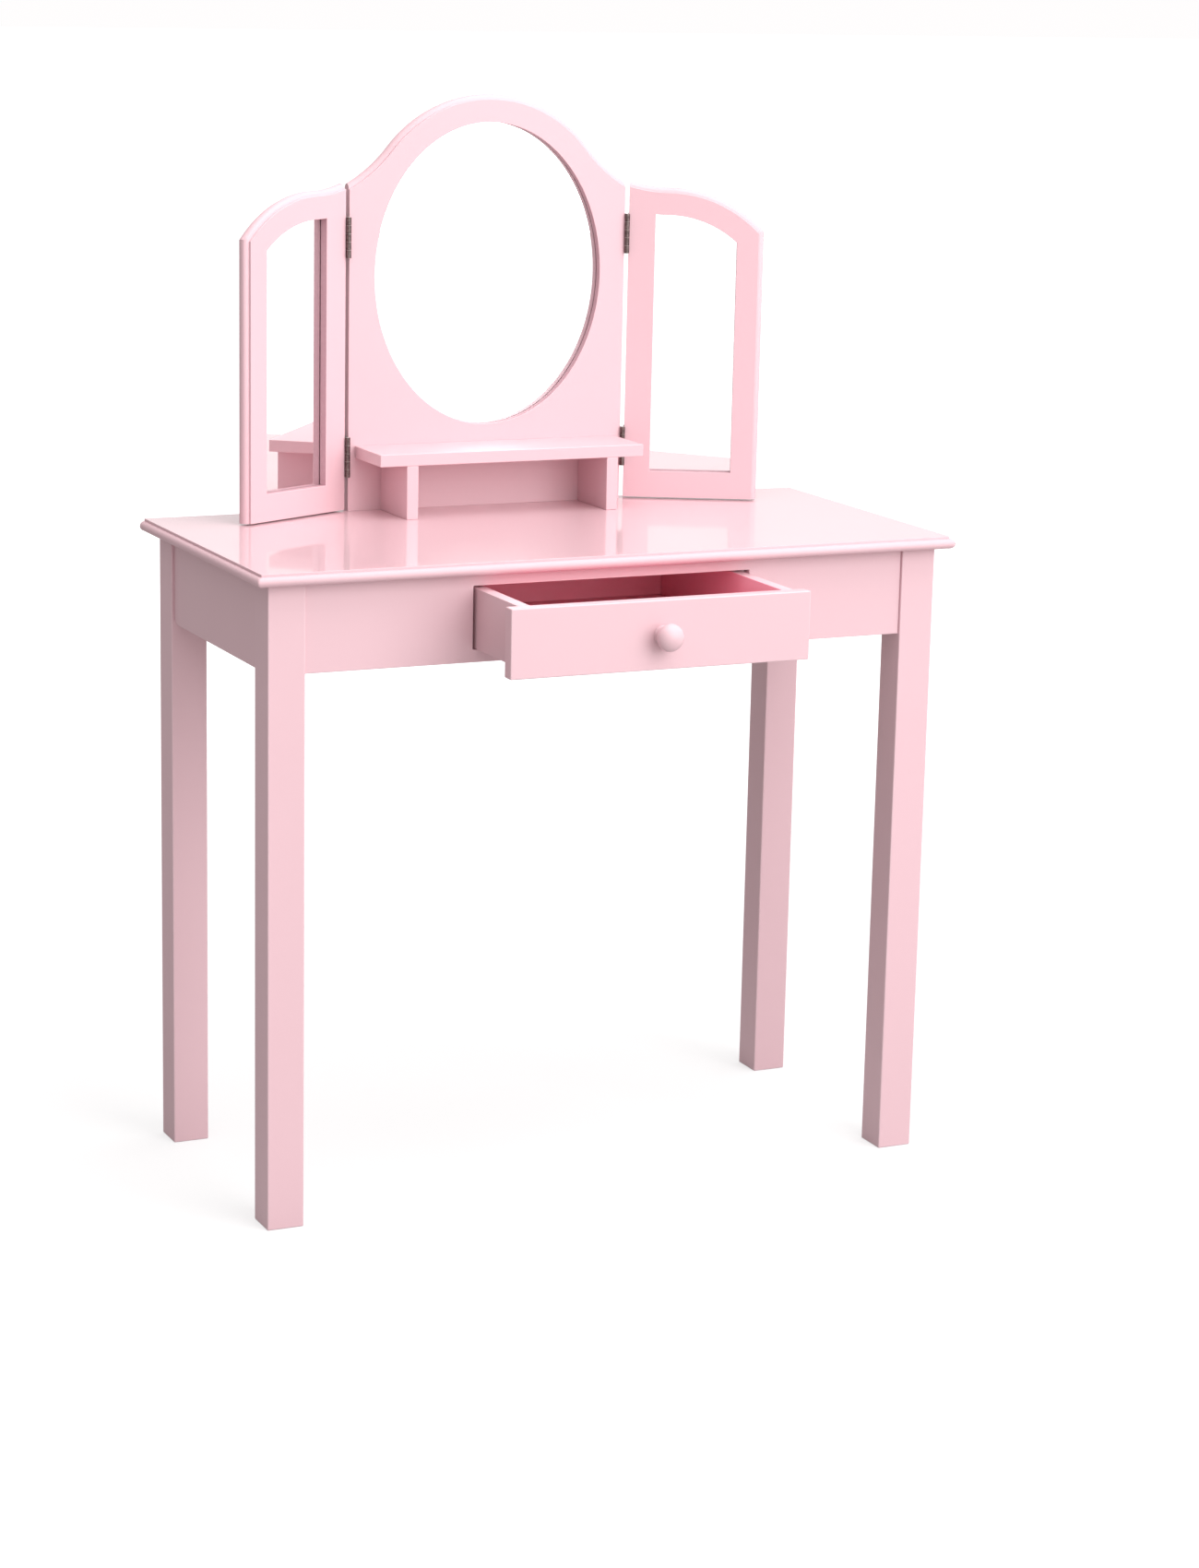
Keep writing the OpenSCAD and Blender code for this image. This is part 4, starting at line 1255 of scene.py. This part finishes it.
def washer_shape(radius, length):
    return prism([ring_points(radius, 32), ring_points(BOLT_HOLE, 32)], -length, 0, "Z", 0.2 * MM)


def nut_shape(radius, length):
    return prism([ring_points(radius, 6), ring_points(BOLT_HOLE, 24)], -length, 0, "Z", 0.45 * MM)


def dowel_shape(radius, length):
    ease = 0.3 * radius
    profile = [(radius - ease, 0), (radius, -ease), (radius, ease - length), (radius - ease, -length)]
    return turned(profile, 20, worn=(0, 2))


def pan_screw_shape(head, length):
    """The knob's screw: a low domed head at z = 0 and a threaded shank below it."""
    mesh = new_mesh()
    shank, thick = head / 2, PAN_THICK
    rings = circles(mesh, (0.7 * shank, -length))
    rings += threaded(mesh, shank, 0.4 * MM - length, -thick - 2 * MM, 0.5 * shank)
    rings += circles(
        mesh, (shank, -thick), (head, -thick), (head, -0.45 * thick), (0.9 * head, -0.15 * thick),
        (0.62 * head, 0))
    mouth = cross(mesh, head, 0.5, 0.13, 0)
    floor = cross(mesh, head, 0.35, 0.08, -0.6 * thick)
    return driven(mesh, rings, (len(rings) - 3,), mouth, floor)


def longest(points):
    """A dowel lies along its longest side."""
    low, high = corners_of(points)
    sides = high - low
    way = max(range(3), key=lambda axis: sides[axis])
    return Vector([1.0 if axis == way else 0.0 for axis in range(3)])


HARDWARE = {
    "leg_bolts": (inward, bolt_shape, zinc), "leg_washers": (inward, washer_shape, zinc),
    "leg_nuts": (inward, nut_shape, zinc), "drawer_dowels": (longest, dowel_shape, softwood),
    "hinge_pins_left": (upward, dowel_shape, nickel), "hinge_pins_right": (upward, dowel_shape, nickel),
    "knob_screw": (backward, pan_screw_shape, zinc)}
for seed, (node, (aim_of, shape, finish)) in enumerate(HARDWARE.items()):
    print(node + ":", fit_parts(node, aim_of, shape, finish, seed))

# %% [markdown]
# A butt hinge is a plate with knuckles along one edge, every second one on
# the other leaf. The second recipe strings copies of one knuckle along a
# line, with their number and pitch as inputs, and joins them to the plate.


# %% Hinges
BARREL_R = 2.5 * MM
PIN_R = 1.25 * MM
LEAF_T = 1.2 * MM
HINGE_GAP = 3 * MM
KNUCKLES = 5
KNUCKLE_GAP = 0.3 * MM
LEAF_EASE, KNUCKLE_EASE, WING_BORE_GAP = 0.25 * MM, 0.12 * MM, 0.05 * MM


def knuckle_recipe():
    recipe = Recipe("knuckles", {
        "Knuckle": "Object", "Count": "Int", "Start": "Vector", "Pitch": "Vector", "Finish": "Material"})
    line = recipe.add("GeometryNodeMeshLine", {"mode": "OFFSET"}, {
        "Count": recipe.take("Count"), "Start Location": recipe.take("Start"),
        "Offset": recipe.take("Pitch")})
    part = recipe.add("GeometryNodeObjectInfo", {}, {"Object": recipe.take("Knuckle")}, "Geometry")
    row = recipe.add("GeometryNodeInstanceOnPoints", {}, {"Points": line, "Instance": part})
    parts = [row, recipe.take("Geometry")]
    recipe.finish_with(recipe.add("GeometryNodeJoinGeometry", {}, {"Geometry": parts}))
    return recipe


def knuckle_mesh(plate_x, bore, height):
    """A rolled knuckle about the origin, with its strap reaching back to the plate."""
    start = math.acos(plate_x / BARREL_R)
    end = math.acos((plate_x + LEAF_T) / BARREL_R) + 2 * math.pi
    reach = BARREL_R + 2 * KNUCKLE_GAP
    barrel = [(BARREL_R * math.cos(start), BARREL_R * math.sin(start))]
    barrel += arc((0, 0), BARREL_R, start, end, 26)
    outline = barrel + [(plate_x + LEAF_T, reach), (plate_x, reach)]
    return prism([outline, ring_points(bore, 20)], 0, height, "Z", KNUCKLE_EASE, 1)


knuckles = knuckle_recipe()


def hinge_leaf(level, side, on_wing):
    """One leaf as on a right-hand hinge, folded and mirrored to where it belongs."""
    kind = "wing" if on_wing else "fixed"
    node = f"hinge_{kind}_leaf_{level}_{side}"
    low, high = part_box(f"hinge_fixed_leaf_{level}_{side}")
    foot, pitch = low.z, (high.z - low.z) / KNUCKLES
    plate_x = HINGE_GAP / 2 - LEAF_T if on_wing else -HINGE_GAP / 2
    near = PIVOT + Vector((plate_x, BARREL_R + KNUCKLE_GAP, foot))
    far = Vector((near.x + LEAF_T, high.y, high.z))
    plate = to_object("plate", blocks([(near, far)], LEAF_EASE, 2))
    bore = PIN_R + (WING_BORE_GAP if on_wing else 0)
    knuckle = to_object("knuckle", knuckle_mesh(plate_x, bore, pitch - KNUCKLE_GAP))
    show(knuckle)
    start = PIVOT + Vector((0, 0, foot + KNUCKLE_GAP / 2 + (pitch if on_wing else 0)))
    made = knuckles.run(
        plate, Knuckle=knuckle, Count=KNUCKLES // 2 + (0 if on_wing else 1),
        Start=start, Pitch=(0, 0, 2 * pitch), Finish=nickel)
    bpy.data.objects.remove(knuckle)
    mesh = bmesh.new()
    mesh.from_mesh(made)
    if on_wing:
        fold(mesh, side)
    elif side == "left":
        bmesh.ops.transform(mesh, matrix=Matrix.Diagonal((-1, 1, 1, 1)), verts=mesh.verts)
        tidy_mesh(mesh)
    mesh.to_mesh(made)
    mesh.free()
    settle(bpy.data.objects.new("made_" + node, made), node)


for level in ("lower", "upper"):
    for side in SIDES:
        hinge_leaf(level, side, on_wing=False)
        hinge_leaf(level, side, on_wing=True)
print("hinges: 4, with", KNUCKLES, "knuckles each")

# %% [markdown]
# Last, every finished piece is measured against the CAD node that it stands
# for. Rounded arrises, mouldings and mitred tips fall up to two millimetres
# inside the node's box. Nothing stands out of it by more than half of one.


# %% Measure and finish
def box_of(piece):
    return corners_of([vertex.co for vertex in piece.data.vertices])


def misfit(node):
    made, kept = box_of(bpy.data.objects["made_" + node]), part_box(node)
    return max(abs(a - b) for one, other in zip(made, kept) for a, b in zip(one, other))


worst = sorted(((misfit(node), node) for node in body_of), reverse=True)
print("pieces:", len(worst), "of", len(body_of), "nodes")
print("largest misfits (mm):", [(node, round(miss / MM, 2)) for miss, node in worst[:6]])
